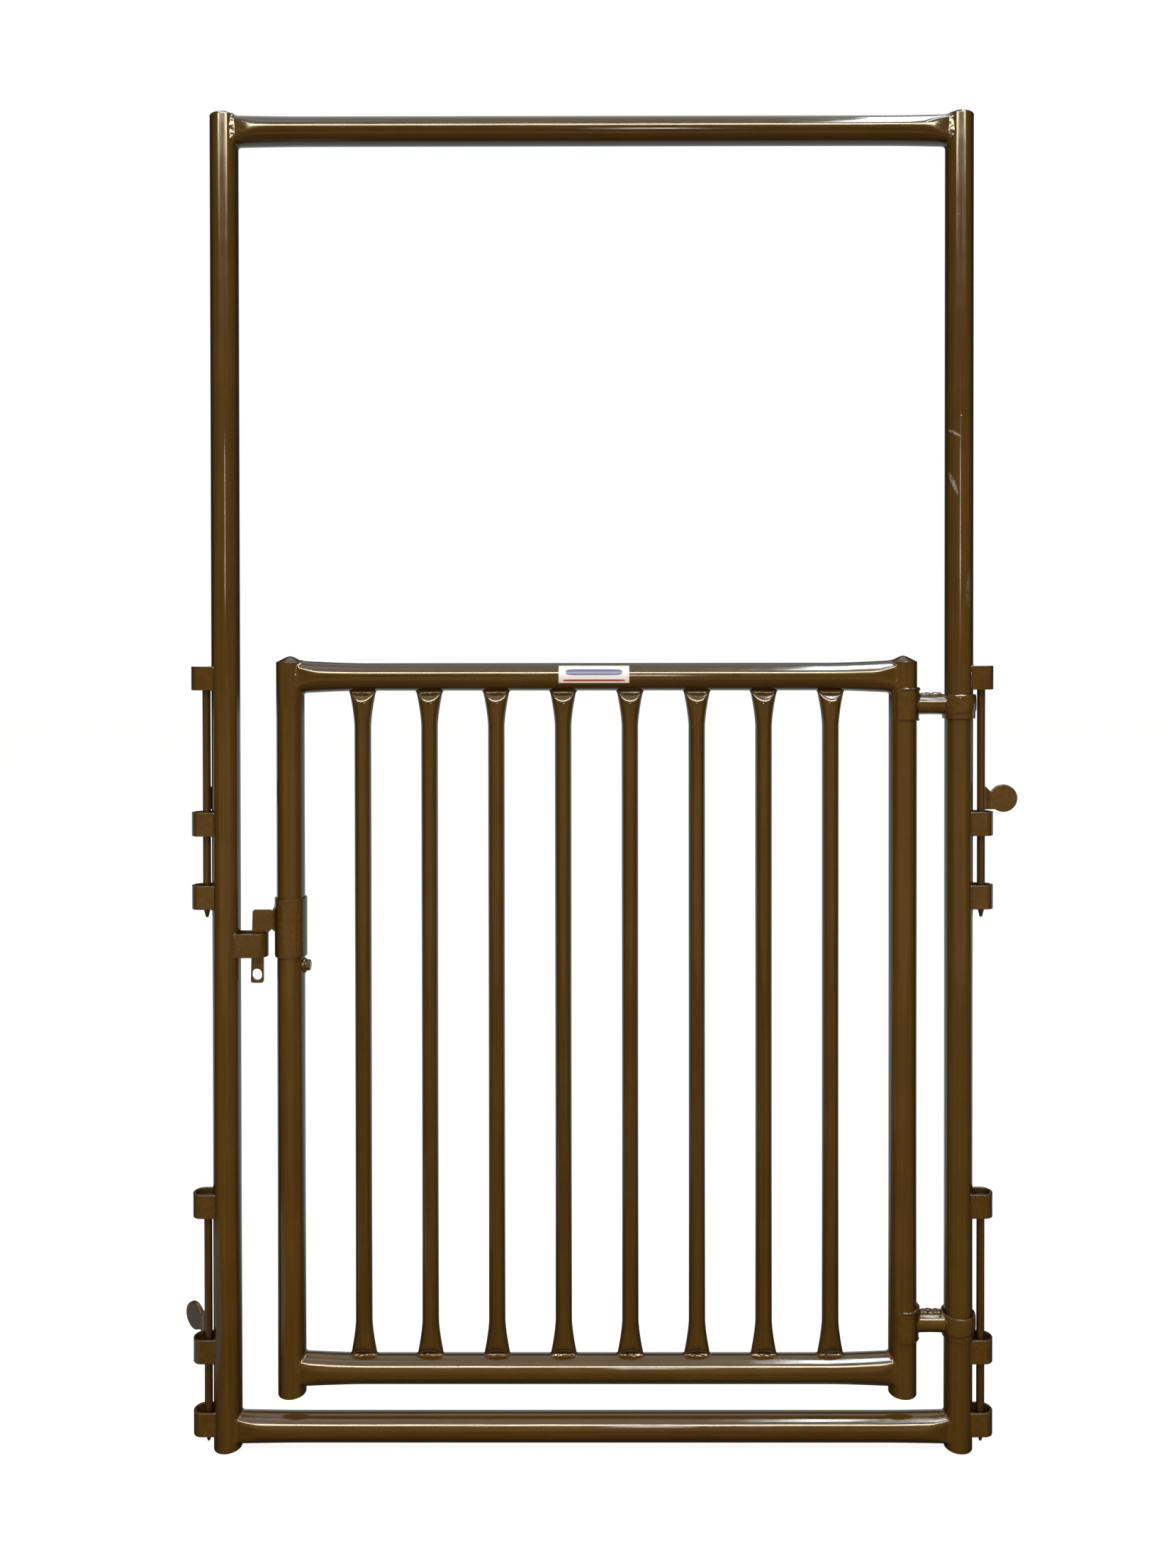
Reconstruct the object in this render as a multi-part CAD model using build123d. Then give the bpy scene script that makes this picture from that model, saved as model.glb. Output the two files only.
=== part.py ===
from build123d import *
import math
import os

# Walk-through livestock gate, in millimetres.
# X runs along the fence line to the hinge side, Y away from the front, Z up from the ground.
# The origin is on the ground, midway between the two posts.

# Tubing
TUBE_OD = 44.45
TUBE_WALL = 2.1
PICKET_OD = 26.7
PICKET_WALL = 1.65

# Outer frame: width over the posts, and where its rails sit
FRAME_WIDTH = 1219.2
POST_HEIGHT = 2133.6
TOP_RAIL_DROP = 24.0
BOTTOM_RAIL_RISE = 31.0

# Rail ends, pressed taller and thinner where they meet an upright
RAIL_PRESS_RISE = 5.0
RAIL_PRESS_PINCH = 5.6
RAIL_PRESS_LENGTH = 120.0

# Domed caps on the uprights
CAP_RISE = 7.5
CAP_WALL = 1.6
CAP_SKIRT = 12.0

# Strap loops on the outer sides of the posts, in two sets of three on each post
STRAP_HEIGHT = 38.1
STRAP_THICKNESS = 4.2
LOOP_WIDTH = 32.0
LOOP_REACH = 32.5
LOWER_SET_HEIGHT = 42.0
UPPER_SET_HEIGHT = 886.0
LOW_TO_MIDDLE = 117.0
MIDDLE_TO_TOP = 233.0

# Drop pins: gaps from the post's face to the rod, and how the ends sit in the loops
PIN_DIAMETER = 12.7
PIN_GAP_LEFT = 2.7
PIN_GAP_RIGHT = 7.4
PIN_POINT_DIAMETER = 4.5
PIN_POINT_LENGTH = 17.0
PIN_POINT_DROP = 14.5
PIN_TOP_INSET = 5.0
PIN_TOP_CHAMFER = 1.0

# Disc handles on the drop pins
PADDLE_DIAMETER = 44.0
PADDLE_THICKNESS = 6.4
PADDLE_EDGE_RADIUS = 2.0
PADDLE_CORNER_RADIUS = 3.0
PADDLE_OVERHANG = 4.0
NECK_LENGTH = 7.2
NECK_HEIGHT = 28.0
PADDLE_SEAT_CLEARANCE = 0.4
PADDLE_ROD_CLEARANCE = 0.3

# How far each handle is turned at rest from straight out, counter-clockwise seen from above
PADDLE_TURN = {
    "left_upper": -115.0,
    "left_lower": -37.0,
    "right_upper": 0.0,
    "right_lower": 71.0,
}

# Gate: clear gaps to the posts, and its reach past the hinges
HINGE_STILE_GAP = 45.0
LATCH_STILE_GAP = 59.0
STILE_ABOVE_UPPER_ARM = 69.5
STILE_BELOW_LOWER_ARM = 114.5
GATE_TOP_RAIL_DROP = 25.0
GATE_BOTTOM_RAIL_RISE = 38.0

# Pickets, with both ends pressed flat
PICKET_COUNT = 8
PICKET_FLAT_WIDTH = 39.0
PICKET_FLAT_THICKNESS = 4.6
PICKET_PRESS_LENGTH = 42.0
PICKET_BEDDING = 1.0

# Hinges: an eye round the right post, a tube arm and a saddle plate on the stile
EYE_CLEARANCE = 0.8
EYE_WALL = 3.2
EYE_HEIGHT = 39.0
EYE_LIP_HEIGHT = 10.5
EYE_LIP_WALL = 1.6
EYE_LIP_STEP = 0.9
EYE_SEAT_CLEARANCE = 0.5
UPPER_EYE_GAP = 7.5
ARM_OD = 33.4
ARM_WALL = 2.8
ARM_RISE = 23.0
SADDLE_WALL = 3.2
SADDLE_HEIGHT = 48.0
SADDLE_WRAP = 220.0

# Latch: a sleeve on the stile, its flag and tongue, and the keeper on the left post
KEEPER_HEIGHT = 809.0
KEEPER_REACH = 44.8
SLEEVE_CLEARANCE = 0.8
SLEEVE_WALL = 2.6
SLEEVE_LENGTH = 100.0
SLEEVE_DROP = 5.0
FLAG_THICKNESS = 5.2
FLAG_HEIGHT = 36.0
FLAG_CLEARANCE = 0.6
FLAG_CORNER_RADIUS = 4.0
NOTCH_DEPTH = 5.0
TONGUE_WIDTH = 20.8
TONGUE_CLEARANCE = 3.3
TONGUE_REACH = 43.0
PADLOCK_EYE_WIDTH = 15.4
PADLOCK_EYE_HEIGHT = 18.2
PADLOCK_EYE_MARGIN = 4.6
STOP_DIAMETER = 18.0
STOP_REACH = 9.5
STOP_CLEARANCE = 0.4

# Places worked out from the sizes above
TUBE_RADIUS = TUBE_OD / 2
POST_X = FRAME_WIDTH / 2 - TUBE_RADIUS
HINGE_STILE_X = POST_X - TUBE_OD - HINGE_STILE_GAP
LATCH_STILE_X = TUBE_OD + LATCH_STILE_GAP - POST_X
SET_HEIGHTS = {"upper": UPPER_SET_HEIGHT, "lower": LOWER_SET_HEIGHT}
LOOP_RISES = {"low": 0.0, "middle": LOW_TO_MIDDLE, "top": LOW_TO_MIDDLE + MIDDLE_TO_TOP}
POST_SIDES = {"left": -1, "right": 1}
PIN_GAPS = {"left": PIN_GAP_LEFT, "right": PIN_GAP_RIGHT}

EYE_BORE_RADIUS = TUBE_RADIUS + EYE_CLEARANCE
EYE_RADIUS = EYE_BORE_RADIUS + EYE_WALL
UPPER_TOP_LOOP_FOOT = UPPER_SET_HEIGHT + LOOP_RISES["top"] - STRAP_HEIGHT / 2
LOWER_MIDDLE_LOOP_TOP = LOWER_SET_HEIGHT + LOOP_RISES["middle"] + STRAP_HEIGHT / 2
EYE_FOOTS = {
    "upper": UPPER_TOP_LOOP_FOOT - UPPER_EYE_GAP - EYE_HEIGHT,
    "lower": LOWER_MIDDLE_LOOP_TOP + EYE_SEAT_CLEARANCE,
}
STILE_FOOT = EYE_FOOTS["lower"] + ARM_RISE - STILE_BELOW_LOWER_ARM
STILE_TOP = EYE_FOOTS["upper"] + ARM_RISE + STILE_ABOVE_UPPER_ARM
GATE_TOP_RAIL_Z = STILE_TOP - GATE_TOP_RAIL_DROP
GATE_BOTTOM_RAIL_Z = STILE_FOOT + GATE_BOTTOM_RAIL_RISE

KEEPER_FOOT = KEEPER_HEIGHT - STRAP_HEIGHT / 2
KEEPER_TOP = KEEPER_HEIGHT + STRAP_HEIGHT / 2
KEEPER_END_X = -POST_X + TUBE_RADIUS + KEEPER_REACH
SLEEVE_FOOT = KEEPER_FOOT - SLEEVE_DROP

ON_END = (Align.CENTER, Align.CENTER, Align.MIN)


def rod(radius, low, high):
    """Upright round bar on the Z axis, from low to high."""
    return Pos(0, 0, low) * Cylinder(radius, high - low, align=ON_END)


def upright(x, low, high):
    """Upright of the main tubing at x, open at both ends."""
    tube = rod(TUBE_RADIUS, low, high) - rod(TUBE_RADIUS - TUBE_WALL, low, high)
    return Pos(x, 0, 0) * tube


def eased(share):
    """How far a pressed end has sprung back to round, from 1 at the end to 0."""
    return (1 - share) ** 1.5


def level_section(x, z, half_tall, half_deep):
    """Oval across a level tube."""
    plane = Plane(origin=(x, 0, z), x_dir=(0, 0, 1), z_dir=(1, 0, 0))
    return plane * Ellipse(half_tall, half_deep)


def rail_skin(x_left, x_right, z, inset):
    """Solid of a rail with both ends pressed tall, drawn in all round by inset."""
    radius = TUBE_RADIUS - inset
    middle = Pos((x_left + x_right) / 2, 0, z) * Rot(0, 90, 0) * Cylinder(
        radius, x_right - x_left - 2 * RAIL_PRESS_LENGTH
    )
    skin = middle
    for x, inward in ((x_left, 1), (x_right, -1)):
        sections = [
            level_section(
                x + inward * share * RAIL_PRESS_LENGTH,
                z,
                radius + RAIL_PRESS_RISE * eased(share),
                radius - RAIL_PRESS_PINCH * eased(share),
            )
            for share in (0, 1 / 3, 2 / 3, 1)
        ]
        skin = skin + loft(sections)
    return skin


def rail(x_left, x_right, z):
    """Level tube between two uprights, its pressed ends coped to them."""
    tube = rail_skin(x_left, x_right, z, 0) - rail_skin(x_left, x_right, z, TUBE_WALL)
    half_tall = TUBE_RADIUS + RAIL_PRESS_RISE
    for x in (x_left, x_right):
        tube = tube - Pos(x, 0, 0) * rod(TUBE_RADIUS, z - 2 * half_tall, z + 2 * half_tall)
    return tube


def cap(x, z):
    """Pressed dome on an upright, with a skirt inside the tube."""
    bore = TUBE_RADIUS - TUBE_WALL
    sphere = (TUBE_RADIUS**2 + CAP_RISE**2) / (2 * CAP_RISE)
    centre = CAP_RISE - sphere

    def dome(radius):
        return Pos(0, 0, centre) * Sphere(radius)

    head = dome(sphere) & rod(TUBE_RADIUS, 0, CAP_RISE)
    hollow = dome(sphere - CAP_WALL) & rod(bore - CAP_WALL, -CAP_SKIRT, CAP_RISE)
    skirt = rod(bore, -CAP_SKIRT, 0) - rod(bore - CAP_WALL, -CAP_SKIRT, 0)
    return Pos(x, 0, z) * (head + skirt - hollow)


def strap_loop(side, reach, height):
    """U of flat strap on a post at the Z axis, centred on height and facing side."""
    end = TUBE_RADIUS + reach

    def outline(inset):
        half = LOOP_WIDTH / 2 - inset
        tip = end - LOOP_WIDTH / 2
        return Pos(tip / 2, 0) * Rectangle(tip, 2 * half) + Pos(tip, 0) * Circle(half)

    strap = extrude(outline(0) - outline(STRAP_THICKNESS), STRAP_HEIGHT)
    strap = strap - rod(TUBE_RADIUS, 0, STRAP_HEIGHT)
    turn = 0 if side > 0 else 180
    return Pos(0, 0, height - STRAP_HEIGHT / 2) * Rot(0, 0, turn) * strap


def pin_x(side):
    """Where the drop pins on one side stand."""
    return POST_SIDES[side] * (POST_X + TUBE_RADIUS + PIN_GAPS[side] + PIN_DIAMETER / 2)


def drop_pin(side, level):
    """Rod that hangs in a set's three loops, with a pointed foot."""
    base = SET_HEIGHTS[level]
    foot = base - STRAP_HEIGHT / 2 - PIN_POINT_DROP
    head = base + LOOP_RISES["top"] + STRAP_HEIGHT / 2 - PIN_TOP_INSET
    shank = rod(PIN_DIAMETER / 2, foot + PIN_POINT_LENGTH, head)
    shank = chamfer(shank.edges().sort_by(Axis.Z)[-1], PIN_TOP_CHAMFER)
    point = Pos(0, 0, foot) * Cone(
        PIN_POINT_DIAMETER / 2, PIN_DIAMETER / 2, PIN_POINT_LENGTH, align=ON_END
    )
    return Pos(pin_x(side), 0, 0) * (shank + point)


def paddle(side, level):
    """Flat disc handle with a neck that sits on a set's middle loop."""
    radius = PADDLE_DIAMETER / 2
    reach = PIN_DIAMETER / 2 + NECK_LENGTH + radius
    disc = Pos(reach, radius - PADDLE_OVERHANG) * Circle(radius)
    neck = Pos(reach / 2, NECK_HEIGHT / 2) * Rectangle(reach, NECK_HEIGHT)
    face = disc + neck
    joins = face.vertices().filter_by(lambda v: v.X > PIN_DIAMETER / 2)
    face = fillet(joins, PADDLE_CORNER_RADIUS)
    plate = extrude(Plane.XZ * face, PADDLE_THICKNESS / 2, both=True)
    rims = plate.edges().filter_by(lambda e: abs(abs(e.center().Y) - PADDLE_THICKNESS / 2) < 0.01)
    outer_rims = rims.filter_by(lambda e: e.center().X > PIN_DIAMETER / 4)
    plate = fillet(outer_rims, PADDLE_EDGE_RADIUS)
    bore = PIN_DIAMETER / 2 + PADDLE_ROD_CLEARANCE
    plate = plate - rod(bore, -PADDLE_DIAMETER, 2 * PADDLE_DIAMETER)
    outward = 0 if side == "right" else 180
    turn = outward + PADDLE_TURN[f"{side}_{level}"]
    seat = SET_HEIGHTS[level] + LOOP_RISES["middle"] + STRAP_HEIGHT / 2 + PADDLE_SEAT_CLEARANCE
    return Pos(pin_x(side), 0, seat) * Rot(0, 0, turn) * plate


def picket_skin(low, high, inset):
    """Solid of a picket on the Z axis with both ends pressed flat, drawn in by inset."""
    radius = PICKET_OD / 2
    widen = PICKET_FLAT_WIDTH / 2 - radius
    thin = radius - PICKET_FLAT_THICKNESS / 2
    skin = rod(radius - inset, low + PICKET_PRESS_LENGTH, high - PICKET_PRESS_LENGTH)
    for end, inward in ((low, 1), (high, -1)):
        sections = [
            Plane((0, 0, end + inward * share * PICKET_PRESS_LENGTH))
            * Ellipse(radius + widen * eased(share) - inset, radius - thin * eased(share) - inset)
            for share in (0, 1 / 3, 2 / 3, 1)
        ]
        skin = skin + loft(sections)
    return skin


def pickets():
    """Pickets with equal gaps between them, their flat ends coped to the gate's rails."""
    low = GATE_BOTTOM_RAIL_Z + TUBE_RADIUS - PICKET_BEDDING
    high = GATE_TOP_RAIL_Z - TUBE_RADIUS + PICKET_BEDDING
    tube = picket_skin(low, high, 0) - picket_skin(low, high, PICKET_WALL)
    rails = [
        rail_skin(LATCH_STILE_X, HINGE_STILE_X, z, 0) for z in (GATE_BOTTOM_RAIL_Z, GATE_TOP_RAIL_Z)
    ]
    inside = HINGE_STILE_X - LATCH_STILE_X - TUBE_OD
    clear_gap = (inside - PICKET_COUNT * PICKET_OD) / (PICKET_COUNT + 1)
    first = LATCH_STILE_X + TUBE_RADIUS + clear_gap + PICKET_OD / 2
    places = [first + number * (clear_gap + PICKET_OD) for number in range(PICKET_COUNT)]
    return {f"picket_{n}": Pos(x, 0, 0) * tube - rails for n, x in enumerate(places, start=1)}


def hinge_saddle(level):
    """Part-round plate on the side of the hinge stile that faces the post."""
    outer = TUBE_RADIUS + SADDLE_WALL
    far = 4 * outer
    half = math.radians(SADDLE_WRAP / 2)
    edge = (far * math.cos(half), far * math.sin(half))
    open_side = Polygon(
        (0, 0), edge, (-far, edge[1]), (-far, -edge[1]), (edge[0], -edge[1]), align=None
    )
    plate = extrude(Circle(outer) - Circle(TUBE_RADIUS) - open_side, SADDLE_HEIGHT)
    foot = EYE_FOOTS[level] + ARM_RISE - SADDLE_HEIGHT / 2
    return Pos(HINGE_STILE_X, 0, foot) * plate


def hinge_arm(level):
    """Short level tube from the saddle to the eye, coped to both."""
    length = POST_X - HINGE_STILE_X
    z = EYE_FOOTS[level] + ARM_RISE
    along = Pos((HINGE_STILE_X + POST_X) / 2, 0, z) * Rot(0, 90, 0)
    tube = along * Cylinder(ARM_OD / 2, length) - along * Cylinder(ARM_OD / 2 - ARM_WALL, length)
    for x, radius in ((HINGE_STILE_X, TUBE_RADIUS + SADDLE_WALL), (POST_X, EYE_RADIUS)):
        tube = tube - Pos(x, 0, 0) * rod(radius, z - ARM_OD, z + ARM_OD)
    return tube


def hinge_eye(level):
    """Formed band round the right post, its lower edge drawn in to a lip."""
    lip_outer = EYE_BORE_RADIUS + EYE_LIP_WALL
    profile = Polygon(
        (EYE_BORE_RADIUS, 0),
        (lip_outer, 0),
        (EYE_RADIUS - EYE_LIP_STEP, EYE_LIP_HEIGHT - EYE_LIP_STEP),
        (EYE_RADIUS, EYE_LIP_HEIGHT),
        (EYE_RADIUS, EYE_HEIGHT),
        (EYE_BORE_RADIUS, EYE_HEIGHT),
        align=None,
    )
    band = revolve(Plane.XZ * profile, Axis.Z)
    return Pos(POST_X, 0, EYE_FOOTS[level]) * band


def latch_sleeve():
    """Sleeve on the latch stile with a flag whose tongue drops through the keeper."""
    bore = TUBE_RADIUS + SLEEVE_CLEARANCE
    outer = bore + SLEEVE_WALL
    flag_foot = KEEPER_TOP + FLAG_CLEARANCE
    flag_top = flag_foot + FLAG_HEIGHT
    tongue_near = KEEPER_END_X - STRAP_THICKNESS - TONGUE_CLEARANCE
    tongue_far = tongue_near - TONGUE_WIDTH
    tongue_foot = KEEPER_FOOT - TONGUE_REACH
    flag = Pos((LATCH_STILE_X + tongue_far) / 2, (flag_foot + flag_top) / 2) * Rectangle(
        LATCH_STILE_X - tongue_far, FLAG_HEIGHT
    )
    tongue = Pos((tongue_near + tongue_far) / 2, (tongue_foot + flag_top) / 2) * Rectangle(
        TONGUE_WIDTH, flag_top - tongue_foot
    )
    face = flag + tongue
    corners = face.vertices().filter_by(lambda v: v.X < tongue_near + 0.01)
    face = fillet(corners, FLAG_CORNER_RADIUS)
    neck_x = LATCH_STILE_X - outer - NOTCH_DEPTH
    for z, inward in ((flag_foot, 1), (flag_top, -1)):
        face = face - Polygon(
            (neck_x - NOTCH_DEPTH, z),
            (neck_x + NOTCH_DEPTH, z),
            (neck_x, z + inward * NOTCH_DEPTH),
            align=None,
        )
    eye_z = tongue_foot + PADLOCK_EYE_MARGIN + PADLOCK_EYE_HEIGHT / 2
    eye = Rot(0, 0, 90) * SlotOverall(PADLOCK_EYE_HEIGHT, PADLOCK_EYE_WIDTH)
    face = face - Pos((tongue_near + tongue_far) / 2, eye_z) * eye
    plate = extrude(Plane.XZ * face, FLAG_THICKNESS / 2, both=True)
    low, high = SLEEVE_FOOT, SLEEVE_FOOT + SLEEVE_LENGTH
    stile = Pos(LATCH_STILE_X, 0, 0)
    return plate + stile * rod(outer, low, high) - stile * rod(bore, low, high)


def latch_stop():
    """Short stud on the latch stile that the sleeve comes down on."""
    z = SLEEVE_FOOT - STOP_CLEARANCE - STOP_DIAMETER / 2
    length = TUBE_RADIUS + STOP_REACH
    stud = Pos(LATCH_STILE_X, 0, z) * Rot(0, 90, 0) * Cylinder(STOP_DIAMETER / 2, length, align=ON_END)
    return stud - Pos(LATCH_STILE_X, 0, z) * Cylinder(TUBE_RADIUS, 2 * STOP_DIAMETER)


def frame_pieces():
    """The posts, rails, caps, strap loops and keeper."""
    pieces = {
        "top_rail": rail(-POST_X, POST_X, POST_HEIGHT - TOP_RAIL_DROP),
        "bottom_rail": rail(-POST_X, POST_X, BOTTOM_RAIL_RISE),
        "latch_keeper": Pos(-POST_X, 0, 0) * strap_loop(1, KEEPER_REACH, KEEPER_HEIGHT),
    }
    for side, sign in POST_SIDES.items():
        pieces[f"{side}_post"] = upright(sign * POST_X, 0, POST_HEIGHT)
        pieces[f"{side}_post_cap"] = cap(sign * POST_X, POST_HEIGHT)
        for level, base in SET_HEIGHTS.items():
            for place, rise in LOOP_RISES.items():
                loop = strap_loop(sign, LOOP_REACH, base + rise)
                pieces[f"{side}_{level}_{place}_loop"] = Pos(sign * POST_X, 0, 0) * loop
    return pieces


def pin_pieces():
    """The four drop pins and their handles."""
    pieces = {}
    for side in POST_SIDES:
        for level in SET_HEIGHTS:
            pieces[f"{side}_{level}_pin"] = drop_pin(side, level)
            pieces[f"{side}_{level}_paddle"] = paddle(side, level)
    return pieces


def gate_pieces():
    """The swinging gate with its pickets, hinges and latch stop."""
    pieces = {
        "gate_top_rail": rail(LATCH_STILE_X, HINGE_STILE_X, GATE_TOP_RAIL_Z),
        "gate_bottom_rail": rail(LATCH_STILE_X, HINGE_STILE_X, GATE_BOTTOM_RAIL_Z),
        "latch_stop": latch_stop(),
        "latch_sleeve": latch_sleeve(),
    }
    for name, x in (("latch", LATCH_STILE_X), ("hinge", HINGE_STILE_X)):
        pieces[f"{name}_stile"] = upright(x, STILE_FOOT, STILE_TOP)
        pieces[f"{name}_stile_cap"] = cap(x, STILE_TOP)
    for level in EYE_FOOTS:
        pieces[f"{level}_hinge_saddle"] = hinge_saddle(level)
        pieces[f"{level}_hinge_arm"] = hinge_arm(level)
        pieces[f"{level}_hinge_eye"] = hinge_eye(level)
    return {**pieces, **pickets()}


os.makedirs("parts", exist_ok=True)
for name, piece in {**frame_pieces(), **pin_pieces(), **gate_pieces()}.items():
    export_step(piece, f"parts/{name}.step")
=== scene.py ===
"""Walk-through livestock gate: a tall tube frame, a low picket gate, its latch and its drop pins."""

import logging
import math
import random
from dataclasses import dataclass, field
from enum import Enum
from functools import cache
from typing import Callable, Iterable, Sequence

import bmesh
import bpy
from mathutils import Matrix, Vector, noise


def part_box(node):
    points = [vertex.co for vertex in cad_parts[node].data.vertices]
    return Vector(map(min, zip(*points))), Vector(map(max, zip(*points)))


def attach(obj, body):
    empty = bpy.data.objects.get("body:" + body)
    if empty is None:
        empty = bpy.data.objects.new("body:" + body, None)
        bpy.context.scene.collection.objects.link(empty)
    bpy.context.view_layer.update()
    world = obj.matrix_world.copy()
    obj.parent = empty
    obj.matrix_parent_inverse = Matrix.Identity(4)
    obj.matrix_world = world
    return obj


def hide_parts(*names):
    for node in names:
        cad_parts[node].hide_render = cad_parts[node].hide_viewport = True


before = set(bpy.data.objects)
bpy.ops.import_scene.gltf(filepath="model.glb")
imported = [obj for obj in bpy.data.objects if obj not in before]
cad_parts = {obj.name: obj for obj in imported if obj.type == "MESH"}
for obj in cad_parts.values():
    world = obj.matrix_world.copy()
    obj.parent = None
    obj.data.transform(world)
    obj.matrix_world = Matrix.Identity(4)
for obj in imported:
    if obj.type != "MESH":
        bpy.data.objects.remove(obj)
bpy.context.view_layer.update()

MM = 0.001
# Width and height of the photograph, in pixels.
PHOTO_SIZE = (1659, 2212)
# Edges that bend more than this stay crisp, on tubes and pressings and on welds.
SMOOTH_ANGLE = math.radians(32)
WELD_ANGLE = math.radians(70)
# Two places that are nearer than this count as one.
TOUCH = 1e-5
# Points of a mesh that are nearer than this become one.
MERGE = 1e-6
# How blunt a pressed dome's tip is, as a share of its radius.
DOME_TIP = 0.28
# Sets the wander of the weld beads, the same on every run.
NOISE_SEED = 7
Colour = tuple[float, float, float]
Piece = bpy.types.Object
Socket = bpy.types.NodeSocket

log = logging.getLogger("livestock_gate")


class Side(Enum):
    """The two posts, with the way that each one faces out along X."""

    LEFT = -1
    RIGHT = 1

    @property
    def word(self) -> str:
        """The side's name as the nodes spell it."""
        return self.name.lower()


class Level(Enum):
    """The upper and lower sets of hinges and connectors."""

    UPPER = "upper"
    LOWER = "lower"


class Body(Enum):
    """The bodies that pieces ride on, apart from the pins and their handles."""

    FRAME = "frame"
    GATE = "gate"
    LATCH = "latch"


class Coat(Enum):
    """The finishes, by what wears them."""

    FRAME = "frame"
    FRAME_LEVEL = "frame_level"
    RUBBED = "rubbed"
    GATE = "gate"
    GATE_LEVEL = "gate_level"
    PICKET = "picket"
    FITTING = "fitting"
    PIN = "pin"
    ROD = "rod"
    WELD = "weld"


class Ends(Enum):
    """What becomes of the ends of a drawn-out form: both filled, or the last joined to the first."""

    FILLED = "filled"
    JOINED = "joined"


class MeshPart(Enum):
    """The parts of a mesh that can be picked."""

    VERTEX = "VERT"
    EDGE = "EDGE"
    FACE = "FACE"


@dataclass(frozen=True)
class Room:
    """The box that a node of the frame fills."""

    low: Vector
    high: Vector

    @classmethod
    @cache
    def of(cls, node: str) -> "Room":
        """Measures a node by its name, once."""
        return cls(*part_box(node))

    @property
    def centre(self) -> Vector:
        """The middle of the box."""
        return (self.low + self.high) / 2

    @property
    def size(self) -> Vector:
        """The box's width, depth and height."""
        return self.high - self.low


@dataclass(frozen=True)
class Ring:
    """One section of a drawn-out form: its place along Z and its half sizes."""

    along: float
    wide: float
    deep: float

    @classmethod
    def round(cls, along: float, radius: float) -> "Ring":
        """A circular section."""
        return cls(along, radius, radius)


# Shared shader groups


def opaque(colour: Colour) -> tuple[float, float, float, float]:
    """A colour as a socket takes it."""
    return (*colour, 1.0)


def shader_group(name: str, inputs: dict[str, object], outputs: dict[str, str]) -> bpy.types.NodeTree:
    """Starts a shader node group with named sockets.

    Args:
        name: The group's name.
        inputs: Default values by socket name; a tuple of three makes a vector, of four a colour.
        outputs: Socket types by name.

    Returns:
        The new group, with its input and output nodes in place.
    """
    group = bpy.data.node_groups.new(name, "ShaderNodeTree")
    for label, value in inputs.items():
        kind = "NodeSocketFloat"
        if isinstance(value, tuple):
            kind = "NodeSocketColor" if len(value) == 4 else "NodeSocketVector"
        socket = group.interface.new_socket(label, in_out="INPUT", socket_type=kind)
        socket.default_value = value
    for label, kind in outputs.items():
        group.interface.new_socket(label, in_out="OUTPUT", socket_type=kind)
    group.nodes.new("NodeGroupInput")
    group.nodes.new("NodeGroupOutput")
    return group


class Wiring:
    """Places nodes in a tree and joins them by socket name."""

    def __init__(self, tree: bpy.types.NodeTree) -> None:
        """Keeps the tree that is being wired."""
        self.tree = tree

    def node(
        self, kind: str, links: dict[object, object] | None = None, **values: object
    ) -> bpy.types.Node:
        """Adds a node.

        Args:
            kind: The node's Blender type.
            links: Inputs by name or number; an output socket is linked, anything else is a value.
            values: Properties of the node itself.

        Returns:
            The new node.
        """
        made = self.tree.nodes.new(kind)
        for name, value in values.items():
            setattr(made, name, value)
        for name, value in (links or {}).items():
            self.feed(made.inputs[name], value)
        return made

    def feed(self, socket: Socket, value: object) -> None:
        """Links an output to a socket, or sets the socket's own value.

        Args:
            socket: The input.
            value: An output socket or a constant.
        """
        if isinstance(value, Socket):
            self.tree.links.new(value, socket)
        else:
            socket.default_value = value

    def maths(self, operation: str, *values: object) -> Socket:
        """A Math node on up to three values, as its output."""
        return self.node("ShaderNodeMath", dict(enumerate(values)), operation=operation).outputs[0]

    def vectors(self, operation: str, *values: object) -> Socket:
        """A Vector Math node on one or two vectors, as its output: a number for a length."""
        made = self.node("ShaderNodeVectorMath", dict(enumerate(values)), operation=operation)
        return made.outputs["Value" if operation == "LENGTH" else "Vector"]

    def cloud(
        self, place: object, scale: object, detail: float = 2.0, roughness: float = 0.5
    ) -> Socket:
        """A Noise node's value; detail lays finer noise over it, as strong as the roughness."""
        fine = {"Detail": detail, "Roughness": roughness}
        return self.node("ShaderNodeTexNoise", {"Vector": place, "Scale": scale, **fine}).outputs[0]

    def blend(self, factor: object, first: object, second: object) -> Socket:
        """A colour mix, as its output: the first colour at 0, the second at 1."""
        parts = {0: factor, 6: first, 7: second}
        return self.node("ShaderNodeMix", parts, data_type="RGBA").outputs[2]

    def smooth_step(self, value: object, low: float, high: float) -> Socket:
        """A soft ramp from 0 at low to 1 at high, as its output."""
        span = {"Value": value, "From Min": low, "From Max": high}
        return self.node("ShaderNodeMapRange", span, interpolation_type="SMOOTHSTEP").outputs[0]


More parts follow.
